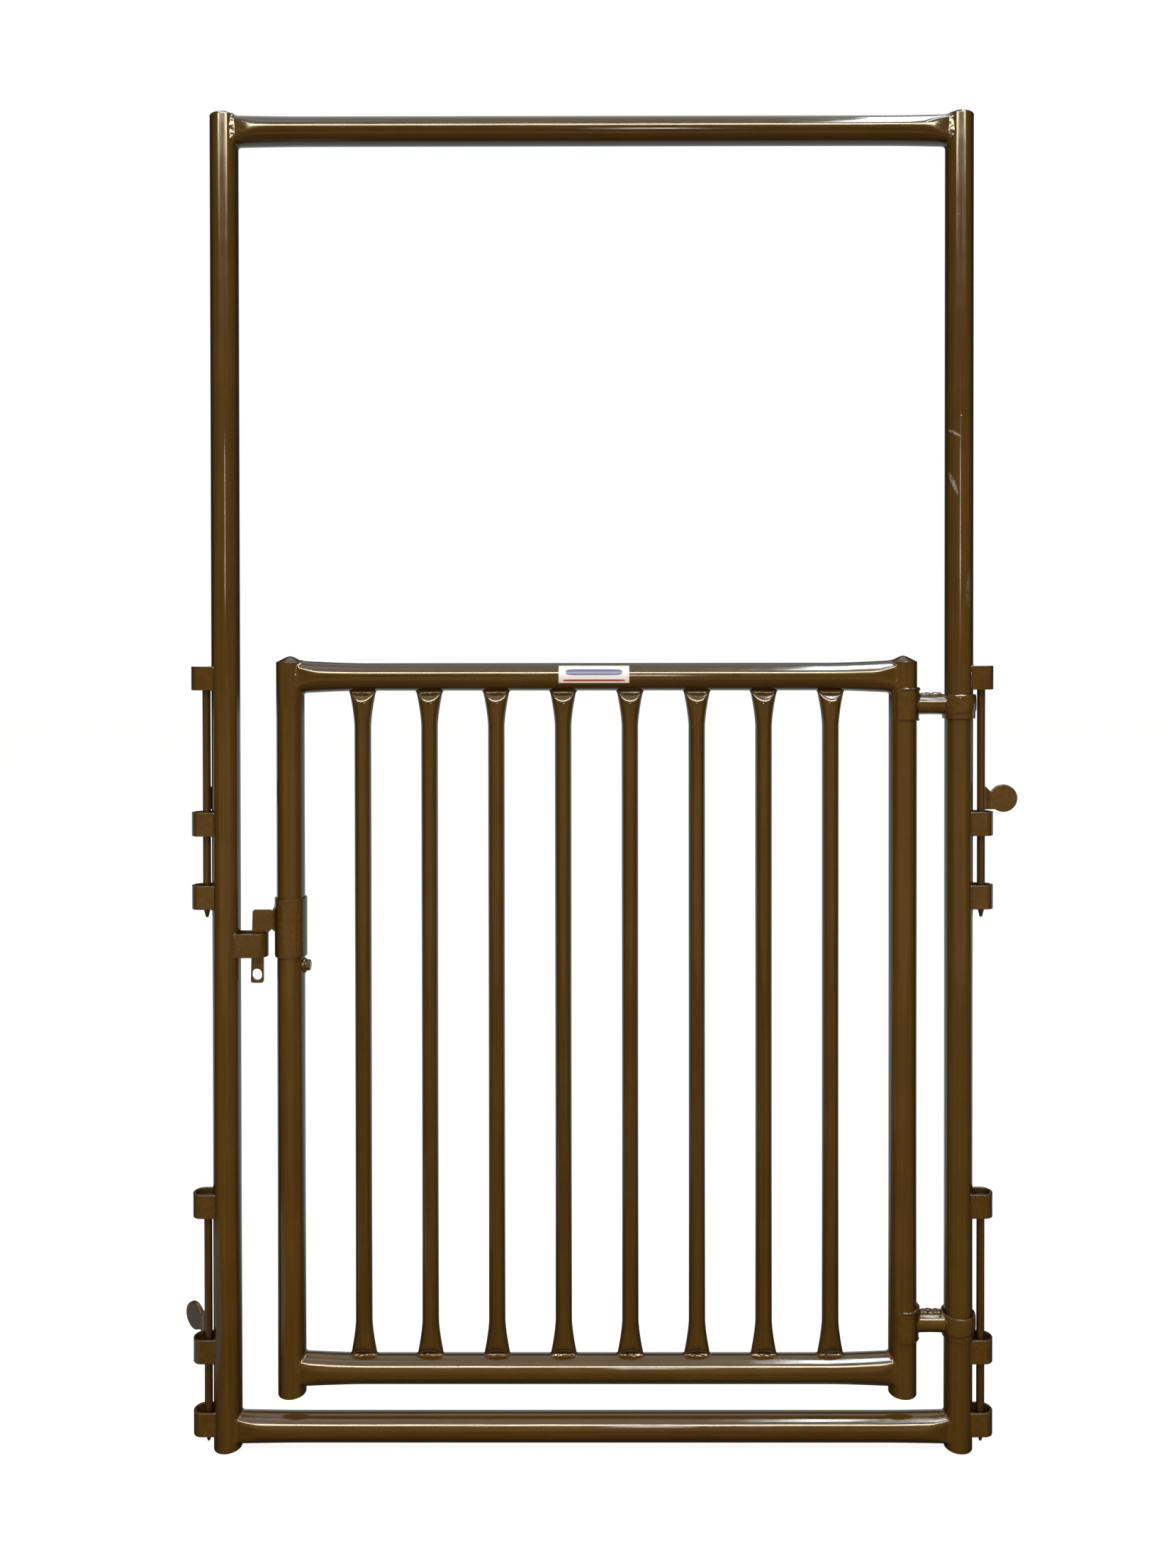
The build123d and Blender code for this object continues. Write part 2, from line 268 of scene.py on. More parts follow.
def paint_tone_group() -> bpy.types.NodeTree:
    """Drift of the enamel's colour, in patches and along the tube, with fine dust specks.

    Returns:
        The group, which puts out a colour.
    """
    group = shader_group(
        "paint_tone",
        {
            "Vector": (0.0, 0.0, 0.0),
            "Grain": (700.0, 700.0, 700.0),
            "Thin": (0.1, 0.06, 0.02, 1.0),
            "Thick": (0.06, 0.03, 0.01, 1.0),
            "Dust": (0.2, 0.18, 0.15, 1.0),
            "Drift Scale": 9.0,
            "Dust Amount": 0.1,
        },
        {"Colour": "NodeSocketColor"},
    )
    wire = Wiring(group)
    given = group.nodes["Group Input"].outputs
    drift = wire.cloud(given["Vector"], given["Drift Scale"], 4.0, 0.6)
    drawn = wire.cloud(wire.vectors("MULTIPLY", given["Vector"], given["Grain"]), 0.3)
    both = wire.maths("MULTIPLY_ADD", drawn, 0.6, wire.maths("MULTIPLY", drift, 0.4))
    tone = wire.blend(wire.smooth_step(both, 0.36, 0.64), given["Thin"], given["Thick"])
    specks = wire.smooth_step(wire.cloud(given["Vector"], 620.0, 1.0), 0.62, 0.75)
    patches = wire.smooth_step(wire.cloud(given["Vector"], 23.0), 0.42, 0.66)
    mask = wire.maths("MULTIPLY", wire.maths("MULTIPLY", specks, patches), given["Dust Amount"])
    wire.feed(group.nodes["Group Output"].inputs["Colour"], wire.blend(mask, tone, given["Dust"]))
    return group


def orange_peel_group() -> bpy.types.NodeTree:
    """Sprayed enamel's surface: fine peel, long flow waves and a few dried nibs.

    Returns:
        The group, which puts out a height in millimetres.
    """
    group = shader_group(
        "orange_peel",
        {
            "Vector": (0.0, 0.0, 0.0),
            "Grain": (700.0, 700.0, 700.0),
            "Streaks": 0.002,
            "Peel": 0.004,
            "Flow": 0.04,
            "Nibs": 0.12,
        },
        {"Height": "NodeSocketFloat"},
    )
    wire = Wiring(group)
    given = group.nodes["Group Input"].outputs
    peel = wire.cloud(given["Vector"], 420.0, 1.0)
    flow = wire.cloud(given["Vector"], 58.0, 1.0)
    nibs = wire.node("ShaderNodeTexVoronoi", {"Vector": given["Vector"], "Scale": 85.0})
    nib = wire.maths("SUBTRACT", 1.0, wire.smooth_step(nibs.outputs["Distance"], 0.03, 0.11))
    chosen = wire.smooth_step(wire.cloud(given["Vector"], 17.0), 0.56, 0.62)
    sparse = wire.maths("MULTIPLY", nib, chosen)
    streaks = wire.cloud(wire.vectors("MULTIPLY", given["Vector"], given["Grain"]), 1.0)
    height = wire.maths("MULTIPLY", peel, given["Peel"])
    for layer, depth in ((streaks, "Streaks"), (flow, "Flow"), (sparse, "Nibs")):
        height = wire.maths("MULTIPLY_ADD", layer, given[depth], height)
    wire.feed(group.nodes["Group Output"].inputs["Height"], height)
    return group


def gloss_group() -> bpy.types.NodeTree:
    """Cloudy and streaky gloss: how rough the enamel is from place to place.

    Returns:
        The group, which puts out a roughness.
    """
    group = shader_group(
        "gloss_drift",
        {"Vector": (0.0, 0.0, 0.0), "Grain": (700.0, 700.0, 700.0), "Glossy": 0.12, "Dull": 0.24},
        {"Roughness": "NodeSocketFloat"},
    )
    wire = Wiring(group)
    given = group.nodes["Group Input"].outputs
    patches = wire.cloud(given["Vector"], 31.0, 5.0)
    streaks = wire.cloud(wire.vectors("MULTIPLY", given["Vector"], given["Grain"]), 0.6)
    both = wire.maths("MULTIPLY_ADD", streaks, 0.6, wire.maths("MULTIPLY", patches, 0.4))
    ramp = wire.node(
        "ShaderNodeMapRange",
        {0: both, 1: 0.38, 2: 0.62, 3: given["Glossy"], 4: given["Dull"]},
    )
    wire.feed(group.nodes["Group Output"].inputs["Roughness"], ramp.outputs[0])
    return group


def scuff_group() -> bpy.types.NodeTree:
    """One rubbed streak: an oval place, leaning if need be, broken up by fine scratches.

    Returns:
        The group, which puts out a mask.
    """
    group = shader_group(
        "scuff",
        {
            "Vector": (0.0, 0.0, 0.0),
            "Centre": (0.0, 0.0, 0.0),
            "Reach": (0.01, 0.01, 0.02),
            "Lean": 0.0,
            "Strength": 1.0,
        },
        {"Mask": "NodeSocketFloat"},
    )
    wire = Wiring(group)
    given = group.nodes["Group Input"].outputs
    away = wire.vectors("SUBTRACT", given["Vector"], given["Centre"])
    parts = wire.node("ShaderNodeSeparateXYZ", {0: away}).outputs
    across = wire.maths("MULTIPLY_ADD", parts[2], given["Lean"], parts[0])
    upright = wire.node("ShaderNodeCombineXYZ", {0: across, 1: parts[1], 2: parts[2]})
    far = wire.vectors("LENGTH", wire.vectors("DIVIDE", upright.outputs[0], given["Reach"]))
    place = wire.maths("SUBTRACT", 1.0, wire.smooth_step(far, 0.45, 1.0))
    streaks = wire.smooth_step(wire.cloud(given["Vector"], 260.0, 5.0, 0.7), 0.36, 0.60)
    broken = wire.maths("MULTIPLY", streaks, given["Strength"])
    wire.feed(group.nodes["Group Output"].inputs["Mask"], wire.maths("MULTIPLY", place, broken))
    return group


class Groups:
    """The shader groups, each built once."""

    def __init__(self) -> None:
        """Builds every group."""
        self.paint_tone = paint_tone_group()
        self.orange_peel = orange_peel_group()
        self.gloss = gloss_group()
        self.scuff = scuff_group()


# Finishes


class Grain(Enum):
    """Which way a tube's fine draw marks run under its paint, as noise scales along X, Y and Z."""

    UPRIGHT = (800.0, 800.0, 10.0)
    LEVEL = (10.0, 800.0, 800.0)
    NONE = (500.0, 500.0, 500.0)


@dataclass(frozen=True)
class Scuff:
    """A rubbed streak on one piece, in the frame's own coordinates."""

    centre: tuple[float, float, float]
    reach: tuple[float, float, float]
    lean: float = 0.0
    strength: float = 1.0


@dataclass(frozen=True)
class Enamel:
    """Glossy brown enamel over steel."""

    name: str
    slot: str
    thin: Colour = (0.086, 0.0430, 0.0062)
    thick: Colour = (0.066, 0.0312, 0.0039)
    # Painted shade: a very dark brown blended in where a tube turns away from the camera, darkening its
    # edges.
    rim: Colour = (0.022, 0.0095, 0.0012)
    dust: Colour = (0.30, 0.26, 0.20)
    scuffed: Colour = (0.34, 0.29, 0.22)
    dust_amount: float = 0.04
    glossy: float = 0.06
    dull: float = 0.17
    grain: Grain = Grain.UPRIGHT
    streaks: float = 0.026
    peel: float = 0.003
    flow: float = 0.03
    nibs: float = 0.05
    edge_shade_from: tuple[float, float] = (0.14, 0.62)
    refraction: float = 1.52
    scuff_dulls: float = 0.3
    scuffs: tuple[Scuff, ...] = ()

    def material(self, groups: Groups) -> bpy.types.Material:
        """Wires the finish.

        Args:
            groups: The shared shader groups.

        Returns:
            The new material.
        """
        made = bpy.data.materials.new(self.name)
        made.use_nodes = True
        wire = Wiring(made.node_tree)
        shader = made.node_tree.nodes["Principled BSDF"]
        spot = wire.node("ShaderNodeTexCoord").outputs["Object"]
        drawn = {"Vector": spot, "Grain": self.grain.value}
        tone = wire.node(
            "ShaderNodeGroup",
            {
                **drawn,
                "Thin": opaque(self.thin),
                "Thick": opaque(self.thick),
                "Dust": opaque(self.dust),
                "Dust Amount": self.dust_amount,
            },
            node_tree=groups.paint_tone,
        )
        gloss = wire.node(
            "ShaderNodeGroup",
            {**drawn, "Glossy": self.glossy, "Dull": self.dull},
            node_tree=groups.gloss,
        )
        skin = wire.node(
            "ShaderNodeGroup",
            {**drawn, "Streaks": self.streaks, "Peel": self.peel, "Flow": self.flow, "Nibs": self.nibs},
            node_tree=groups.orange_peel,
        )
        colour = tone.outputs["Colour"]
        roughness = gloss.outputs["Roughness"]
        for scuff in self.scuffs:
            streak = wire.node(
                "ShaderNodeGroup",
                {
                    "Vector": spot,
                    "Centre": scuff.centre,
                    "Reach": scuff.reach,
                    "Lean": scuff.lean,
                    "Strength": scuff.strength,
                },
                node_tree=groups.scuff,
            )
            mask = streak.outputs["Mask"]
            colour = wire.blend(mask, colour, opaque(self.scuffed))
            roughness = wire.maths("MULTIPLY_ADD", mask, self.scuff_dulls, roughness)
        # Painted shade along the edges that turn away from the camera.
        facing = wire.node("ShaderNodeLayerWeight", {"Blend": 0.5}).outputs["Facing"]
        colour = wire.blend(wire.smooth_step(facing, *self.edge_shade_from), colour, opaque(self.rim))
        bump = wire.node(
            "ShaderNodeBump", {"Height": skin.outputs["Height"], "Distance": MM, "Strength": 1.0}
        )
        wire.feed(shader.inputs["Base Color"], colour)
        wire.feed(shader.inputs["Roughness"], roughness)
        wire.feed(shader.inputs["Normal"], bump.outputs["Normal"])
        wire.feed(shader.inputs["IOR"], self.refraction)
        return made


@dataclass(frozen=True)
class LabelFilm:
    """Plain film: a pale ground with a blue bar and a red rule, both with rounded ends."""

    name: str = "label_film"
    ground: Colour = (0.78, 0.78, 0.78)
    shade: Colour = (0.6, 0.6, 0.6)
    shade_amount: float = 0.12
    grain_scale: float = 900.0
    grain_depth: float = 0.02 * MM
    bar: Colour = (0.050, 0.070, 0.27)
    rule: Colour = (0.40, 0.045, 0.035)
    bar_place: float = 0.62
    bar_half: tuple[float, float] = (0.40, 0.17)
    rule_place: float = 0.15
    rule_half: tuple[float, float] = (0.44, 0.055)
    squareness: tuple[float, float] = (8.0, 4.0)
    roughness: float = 0.32

    def material(self, low: Vector, high: Vector) -> bpy.types.Material:
        """Wires the finish.

        Args:
            low: The label's low corner.
            high: Its high corner.

        Returns:
            The new material.
        """
        made = bpy.data.materials.new(self.name)
        made.use_nodes = True
        wire = Wiring(made.node_tree)
        shader = made.node_tree.nodes["Principled BSDF"]
        spot = wire.node("ShaderNodeTexCoord").outputs["Object"]
        parts = wire.node("ShaderNodeSeparateXYZ", {0: spot}).outputs
        across = wire.node("ShaderNodeMapRange", {0: parts[0], 1: low.x, 2: high.x, 3: -0.5, 4: 0.5})
        up = wire.node("ShaderNodeMapRange", {0: parts[2], 1: low.z, 2: high.z})
        grain = wire.cloud(spot, self.grain_scale)
        mottle = wire.maths("MULTIPLY", grain, self.shade_amount)
        colour = wire.blend(mottle, opaque(self.ground), opaque(self.shade))
        for place, half, ink in (
            (self.bar_place, self.bar_half, self.bar),
            (self.rule_place, self.rule_half, self.rule),
        ):
            out = wire.maths("ABSOLUTE", wire.maths("DIVIDE", across.outputs[0], half[0]))
            rise = wire.maths("DIVIDE", wire.maths("SUBTRACT", up.outputs[0], place), half[1])
            wide = wire.maths("POWER", out, self.squareness[0])
            tall = wire.maths("POWER", wire.maths("ABSOLUTE", rise), self.squareness[1])
            inside = wire.maths("LESS_THAN", wire.maths("ADD", wide, tall), 1.0)
            colour = wire.blend(inside, colour, opaque(ink))
        bump = wire.node("ShaderNodeBump", {"Height": grain, "Distance": self.grain_depth})
        wire.feed(shader.inputs["Base Color"], colour)
        wire.feed(shader.inputs["Normal"], bump.outputs["Normal"])
        wire.feed(shader.inputs["Roughness"], self.roughness)
        return made


class Paints:
    """The finishes that the pieces wear, made once."""

    def __init__(self, groups: Groups) -> None:
        """Wires each finish.

        Args:
            groups: The shared shader groups.
        """
        cast = {"grain": Grain.NONE, "streaks": 0.0}
        # Painted shade: darker copies of the same enamel for the level tubes and the pickets, darkening
        # them as shade would.
        deep = {"thin": (0.074, 0.0362, 0.0049), "thick": (0.056, 0.0258, 0.0030)}
        level = {"grain": Grain.LEVEL, **deep}
        dark = {"thin": (0.060, 0.0275, 0.0046), "thick": (0.044, 0.0190, 0.0030)}
        drawn = {"streaks": 0.012, "flow": 0.01, "nibs": 0.0, **dark}
        self.finishes = {
            Coat.FRAME: Enamel("frame_brown", "frame_enamel"),
            Coat.FRAME_LEVEL: Enamel("frame_brown_level", "frame_enamel", **level),
            Coat.RUBBED: Enamel("frame_brown_rubbed", "frame_enamel", scuffs=self.scuffs()),
            Coat.GATE: Enamel("gate_brown", "gate_enamel"),
            Coat.GATE_LEVEL: Enamel("gate_brown_level", "gate_enamel", **level),
            Coat.PICKET: Enamel("picket_brown", "gate_enamel", **deep),
            Coat.FITTING: Enamel(
                "fitting_brown", "fitting_enamel", glossy=0.11, dull=0.18, flow=0.05, **cast
            ),
            Coat.PIN: Enamel("pin_brown", "pin_enamel", glossy=0.12, dull=0.22, flow=0.06, **cast),
            Coat.ROD: Enamel("rod_brown", "pin_enamel", glossy=0.13, dull=0.22, **drawn),
            Coat.WELD: Enamel(
                "weld_brown", "fitting_enamel", glossy=0.08, dull=0.14, flow=0.06, **cast
            ),
        }
        self.materials = {coat: finish.material(groups) for coat, finish in self.finishes.items()}

    def scuffs(self) -> tuple[Scuff, ...]:
        """The rubbed places on the right post and a faint pale haze lower down, set out from its front
        and its left edge.

        Returns:
            The streaks, the strongest first.
        """
        post = Room.of("right_post")
        front = post.low.y
        edge = post.low.x
        return (
            Scuff((edge + 0.0100, front + 0.005, 1.624), (0.0042, 0.014, 0.0095), lean=1.25),
            Scuff((edge + 0.0085, front + 0.006, 1.544), (0.0034, 0.014, 0.0230), lean=0.32),
            Scuff((edge + 0.0190, front + 0.001, 1.651), (0.0016, 0.006, 0.0018)),
            # A faint pale haze lower down the post.
            Scuff((edge + 0.0320, front + 0.003, 1.375), (0.0070, 0.010, 0.0360), strength=0.25),
        )

    def put_on(self, piece: Piece, coat: Coat) -> None:
        """Gives a piece its finish.

        Args:
            piece: The piece.
            coat: Its finish.
        """
        piece.data.materials.clear()
        piece.data.materials.append(self.materials[coat])


# Bench work


def clear_bench() -> None:
    """Lets go of everything that is selected."""
    if bpy.context.mode != "OBJECT":
        bpy.ops.object.mode_set(mode="OBJECT")
    bpy.ops.object.select_all(action="DESELECT")


def take(piece: Piece) -> None:
    """Selects one piece and makes it active.

    Args:
        piece: The piece.
    """
    clear_bench()
    piece.select_set(True)
    bpy.context.view_layer.objects.active = piece


def open_mesh(piece: Piece) -> None:
    """Enters edit mode with all of a piece selected.

    Args:
        piece: The piece.
    """
    take(piece)
    bpy.ops.object.mode_set(mode="EDIT")
    bpy.ops.mesh.select_mode(type="VERT")
    bpy.ops.mesh.select_all(action="SELECT")


def close_mesh() -> None:
    """Merges points that touch, turns the normals outwards and leaves edit mode."""
    bpy.ops.mesh.select_all(action="SELECT")
    bpy.ops.mesh.remove_doubles(threshold=MERGE)
    bpy.ops.mesh.normals_make_consistent(inside=False)
    bpy.ops.object.mode_set(mode="OBJECT")


def pick(piece: Piece, part: MeshPart, test: Callable[[Vector], bool]) -> None:
    """Selects parts of the open mesh by the place of their middle.

    Args:
        piece: The piece in edit mode.
        part: Which parts are looked at.
        test: Says whether a part at that place is wanted.
    """
    bpy.ops.mesh.select_mode(type=part.value)
    bpy.ops.mesh.select_all(action="DESELECT")
    mesh = bmesh.from_edit_mesh(piece.data)
    if part is MeshPart.VERTEX:
        found = [(vertex, vertex.co) for vertex in mesh.verts]
    elif part is MeshPart.EDGE:
        found = [(edge, (edge.verts[0].co + edge.verts[1].co) / 2) for edge in mesh.edges]
    else:
        found = [(face, face.calc_center_median()) for face in mesh.faces]
    for element, place in found:
        if test(place):
            element.select_set(True)
    bmesh.update_edit_mesh(piece.data)


def finish_with(piece: Piece, kind: str, **settings: object) -> None:
    """Adds a modifier to a piece and applies it.

    Args:
        piece: The piece.
        kind: The modifier's Blender type.
        settings: The modifier's own settings.
    """
    take(piece)
    modifier = piece.modifiers.new(kind.title(), kind)
    for name, value in settings.items():
        setattr(modifier, name, value)
    bpy.ops.object.modifier_apply(modifier=modifier.name)


def ease_edges(piece: Piece, width: float, segments: int = 3, angle: float = 40.0) -> None:
    """Rounds a piece's sharp edges, as rolled stock and paint leave them.

    Args:
        piece: The piece.
        width: How wide the rounding is.
        segments: Its steps.
        angle: Edges that bend more than this many degrees are rounded.
    """
    finish_with(
        piece,
        "BEVEL",
        width=width,
        segments=segments,
        limit_method="ANGLE",
        angle_limit=math.radians(angle),
        use_clamp_overlap=True,
    )


def smooth(piece: Piece, angle: float = SMOOTH_ANGLE) -> None:
    """Smooth shading, kept crisp at the piece's real edges and even over its broad faces.

    Args:
        piece: The piece.
        angle: Edges that bend more than this stay crisp.
    """
    take(piece)
    bpy.ops.object.shade_smooth_by_angle(angle=angle)
    finish_with(piece, "WEIGHTED_NORMAL", keep_sharp=True, weight=50)


def settle(piece: Piece) -> None:
    """Puts a piece's place, turn and size into its mesh."""
    take(piece)
    bpy.ops.object.transform_apply(location=True, rotation=True, scale=True)


def move_to(piece: Piece, place: Sequence[float], turn: Sequence[float] = (0.0, 0.0, 0.0)) -> None:
    """Turns a piece, then sets it down, in its mesh.

    Args:
        piece: The piece.
        place: Where its origin goes.
        turn: Its turn about X, Y and Z.
    """
    piece.rotation_euler = turn
    piece.location = place
    settle(piece)


def copy_of(piece: Piece) -> Piece:
    """A second piece with a mesh of its own.

    Args:
        piece: The pattern.

    Returns:
        The copy.
    """
    take(piece)
    bpy.ops.object.duplicate(linked=False)
    return bpy.context.object


def join(pieces: Sequence[Piece]) -> Piece:
    """Makes several meshes one piece.

    Args:
        pieces: The meshes.

    Returns:
        The first of them, which now holds them all.
    """
    clear_bench()
    for piece in pieces:
        piece.select_set(True)
    bpy.context.view_layer.objects.active = pieces[0]
    bpy.ops.object.join()
    return pieces[0]


def scrap(piece: Piece) -> None:
    """Takes a pattern or a cutter off the bench."""
    bpy.data.objects.remove(piece, do_unlink=True)


def block(
    size: Sequence[float], place: Sequence[float], turn: Sequence[float] = (0.0, 0.0, 0.0)
) -> Piece:
    """Makes a plain box.

    Args:
        size: Its length, depth and height.
        place: Its middle.
        turn: Its turn about X, Y and Z.

    Returns:
        The box.
    """
    clear_bench()
    bpy.ops.mesh.primitive_cube_add(size=1.0, location=place)
    piece = bpy.context.object
    piece.scale = size
    piece.rotation_euler = turn
    settle(piece)
    return piece


def stock(
    radius: float, length: float, place: Sequence[float], sides: int, lying: bool = False
) -> Piece:
    """Makes a plain round form.

    Args:
        radius: Its radius.
        length: Its length.
        place: Its middle.
        sides: Faces round it.
        lying: A solid round along Y if true, else an upright skin without ends.

    Returns:
        The form.
    """
    clear_bench()
    bpy.ops.mesh.primitive_cylinder_add(
        vertices=sides,
        radius=radius,
        depth=length,
        end_fill_type="NGON" if lying else "NOTHING",
        rotation=(math.pi / 2 if lying else 0.0, 0.0, 0.0),
        location=place,
    )
    piece = bpy.context.object
    settle(piece)
    return piece


def draw_out(rings: Sequence[Ring], vertices: int = 64, ends: Ends = Ends.FILLED) -> Piece:
    """Extrudes a circle along Z, ring by ring.

    Args:
        rings: The sections in order.
        vertices: Points round each section.
        ends: What becomes of the ends.

    Returns:
        The new piece, at the origin.
    """
    clear_bench()
    first = rings[0]
    start = (0.0, 0.0, first.along)
    bpy.ops.mesh.primitive_circle_add(vertices=vertices, radius=1.0, location=start)
    piece = bpy.context.object
    settle(piece)
    open_mesh(piece)
    bpy.ops.transform.resize(value=(first.wide, first.deep, 1.0), center_override=start)
    for before, ring in zip(rings, rings[1:]):
        bpy.ops.mesh.extrude_region_move(
            TRANSFORM_OT_translate={"value": (0.0, 0.0, ring.along - before.along)}
        )
        bpy.ops.transform.resize(
            value=(ring.wide / before.wide, ring.deep / before.deep, 1.0),
            center_override=(0.0, 0.0, ring.along),
        )
    if ends is Ends.FILLED:
        bpy.ops.mesh.select_all(action="SELECT")
        bpy.ops.mesh.fill_holes(sides=0)
    else:
        bpy.ops.mesh.select_all(action="DESELECT")
        bpy.ops.mesh.select_non_manifold(extend=False, use_boundary=True)
        bpy.ops.mesh.bridge_edge_loops()
    close_mesh()
    return piece


def soft_least(first: float, second: float, blend: float) -> float:
    """The smaller of two values, rounded where they cross."""
    share = max(blend - abs(first - second), 0.0) / blend
    return min(first, second) - share * share * blend / 4


def press_flat(piece: Piece, reach: Callable[[float], float], blend: float) -> None:
    """Presses a tube's front and back flat, as a wedge-shaped die does.

    Args:
        piece: A tube along Z, in object mode.
        reach: How far from the middle the die stops, by place along Z.
        blend: How far the crease is rounded.
    """
    for point in piece.data.vertices:
        deep = abs(point.co.y)
        held = soft_least(deep, reach(point.co.z), blend)
        point.co.y = math.copysign(min(deep, held), point.co.y)


def bell(share: float, rise: float) -> float:
    """Height of a pressed dome over its rim, by the share of its radius."""
    rim = math.hypot(1.0, DOME_TIP)
    return rise * (rim - math.hypot(min(1.0, share), DOME_TIP)) / (rim - DOME_TIP)


def lay_bead(
    path: Sequence[Vector],
    radius: float,
    seed: int,
    closed: bool = False,
    ripple: float = 0.05,
    lump: float = 0.30,
) -> Piece:
    """Runs a weld bead along a seam.

    Args:
        path: Points along the seam.
        radius: The bead's half width.
        seed: Sets where its lumps fall.
        closed: Whether the bead meets its own start.
        ripple: Depth of the even ripples, as a share of the radius.
        lump: Depth of the uneven lumps, as a share of the radius.

    Returns:
        The bead as a mesh.
    """
    pitch, coarse, fine, sway = 2.4 * MM, 190.0, 420.0, 260.0
    sway_share, least, end_share, end_slope = 0.22, 0.3, 0.45, 4.4
    clear_bench()
    bpy.ops.curve.primitive_nurbs_path_add(location=(0.0, 0.0, 0.0))
    piece = bpy.context.object
    curve = piece.data
    curve.splines.clear()
    spline = curve.splines.new("POLY")
    spline.points.add(len(path) - 1)
    spline.use_cyclic_u = closed
    run = 0.0
    wander = Vector((seed * 3.7, seed * 1.3, 0.0))
    for number, (point, spot) in enumerate(zip(spline.points, path)):
        if number:
            run += (spot - path[number - 1]).length
        wave = abs(math.sin(math.pi * run / pitch))
        rough = noise.noise(spot * coarse + wander) + 0.6 * noise.noise(spot * fine + wander)
        drift = noise.noise_vector(spot * sway + wander) * radius * sway_share
        point.co = (*(spot + drift), 1.0)
        end = 1.0
        if not closed:
            from_end = min(number, len(path) - 1 - number) / len(path)
            end = min(1.0, end_share + end_slope * from_end)
        point.radius = max(least, (1.0 + ripple * (wave - 0.5) + lump * rough) * end)
    curve.dimensions = "3D"
    curve.bevel_depth = radius
    curve.bevel_resolution = 2
    curve.use_fill_caps = not closed
    bpy.ops.object.convert(target="MESH")
    return bpy.context.object


def hollow(first: Vector, second: Vector, corner: Vector, fill: float) -> list[Vector]:
    """A weld's section: a curve between two surfaces, closed under the corner where they meet.

    Args:
        first: Where the weld runs out on one surface.
        second: Where it runs out on the other.
        corner: The corner that it fills.
        fill: 0 draws it into the corner, 1 makes its face straight, more makes it bulge.

    Returns:
        The points round the section.
    """
    spans, rooted = 9, 0.4
    middle = (first + second) / 2
    pull = corner.lerp(middle, fill)
    curve = []
    for step in range(spans + 1):
        share = step / spans
        rest = 1 - share
        curve.append(first * rest**2 + pull * (2 * share * rest) + second * share**2)
    return [*curve, corner + (corner - middle) * rooted]


def lay_fillet(sections: Sequence[Sequence[Vector]], lump: float, seed: int) -> Piece:
    """Runs a weld round a closed seam, section by section, and raises its lumps.

    Args:
        sections: The weld's section at each place, all with as many points.
        lump: Height of the lumps.
        seed: Sets where they fall.

    Returns:
        The weld as a mesh.
    """
    coarse, fine = 170.0, 360.0
    clear_bench()
    count = len(sections[0])
    bpy.ops.mesh.primitive_torus_add(major_segments=len(sections), minor_segments=count)
    piece = bpy.context.object
    spots = (spot for section in sections for spot in section)
    for point, spot in zip(piece.data.vertices, spots):
        point.co = spot
    open_mesh(piece)
    close_mesh()
    wander = Vector((3.1 * seed, 0.0, 0.0))
    raised = []
    for number, point in enumerate(piece.data.vertices):
        share = min(1.0, number % count / (count - 2))
        at = point.co
        rough = noise.noise(at * coarse + wander) + 0.5 * noise.noise(at * fine + wander)
        raised.append(at + point.normal * lump * rough * math.sin(math.pi * share))
    for point, spot in zip(piece.data.vertices, raised):
        point.co = spot
    return piece


def spatter(places: Iterable[Vector], size: float, seed: int) -> list[Piece]:
    """Small droplets that weld spatter leaves under the paint.

    Args:
        places: Points on the surface.
        size: A droplet's largest half width.
        seed: Sets their sizes.

    Returns:
        One small mesh for each place.
    """
    draw = random.Random(seed)
    made = []
    for place in places:
        clear_bench()
        radius = size * draw.uniform(0.4, 1.0)
        bpy.ops.mesh.primitive_ico_sphere_add(subdivisions=2, radius=radius, location=place)
        drop = bpy.context.object
        drop.scale = (draw.uniform(0.8, 1.3), draw.uniform(0.8, 1.2), draw.uniform(0.8, 1.4))
        settle(drop)
        made.append(drop)
    return made


@dataclass
class Shop:
    """The finishes, and a note of each piece that is set in place."""

    paints: Paints
    pieces: list[str] = field(default_factory=list)

    def note(self, piece: Piece, body: str) -> None:
        """Notes and reports a piece that rides on its body."""
        self.pieces.append(piece.name)
        log.info("%s on %s, %d faces", piece.name, body, len(piece.data.polygons))


# Sub-assemblies


@dataclass
class Assembly:
    """A sub-assembly, which models its pieces, dresses them and sets them on their bodies."""

    shop: Shop

    def build(self) -> None:
        """Makes every piece; each sub-assembly has its own way."""
        raise NotImplementedError

    def dress(
        self, piece: Piece, name: str, body: str, coat: Coat, stands_for: Sequence[str] = ()
    ) -> None:
        """Names a piece, gives it its finish and sets it on its body.

        Args:
            piece: The finished mesh, in place.
            name: Its name.
            body: The body that it rides on.
            coat: Its finish.
            stands_for: The frame's nodes that it shows.
        """
        settle(piece)
        piece.name = name
        piece.data.name = name
        self.shop.paints.put_on(piece, coat)
        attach(piece, body)
        if stands_for:
            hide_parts(*stands_for)
        self.shop.note(piece, body)


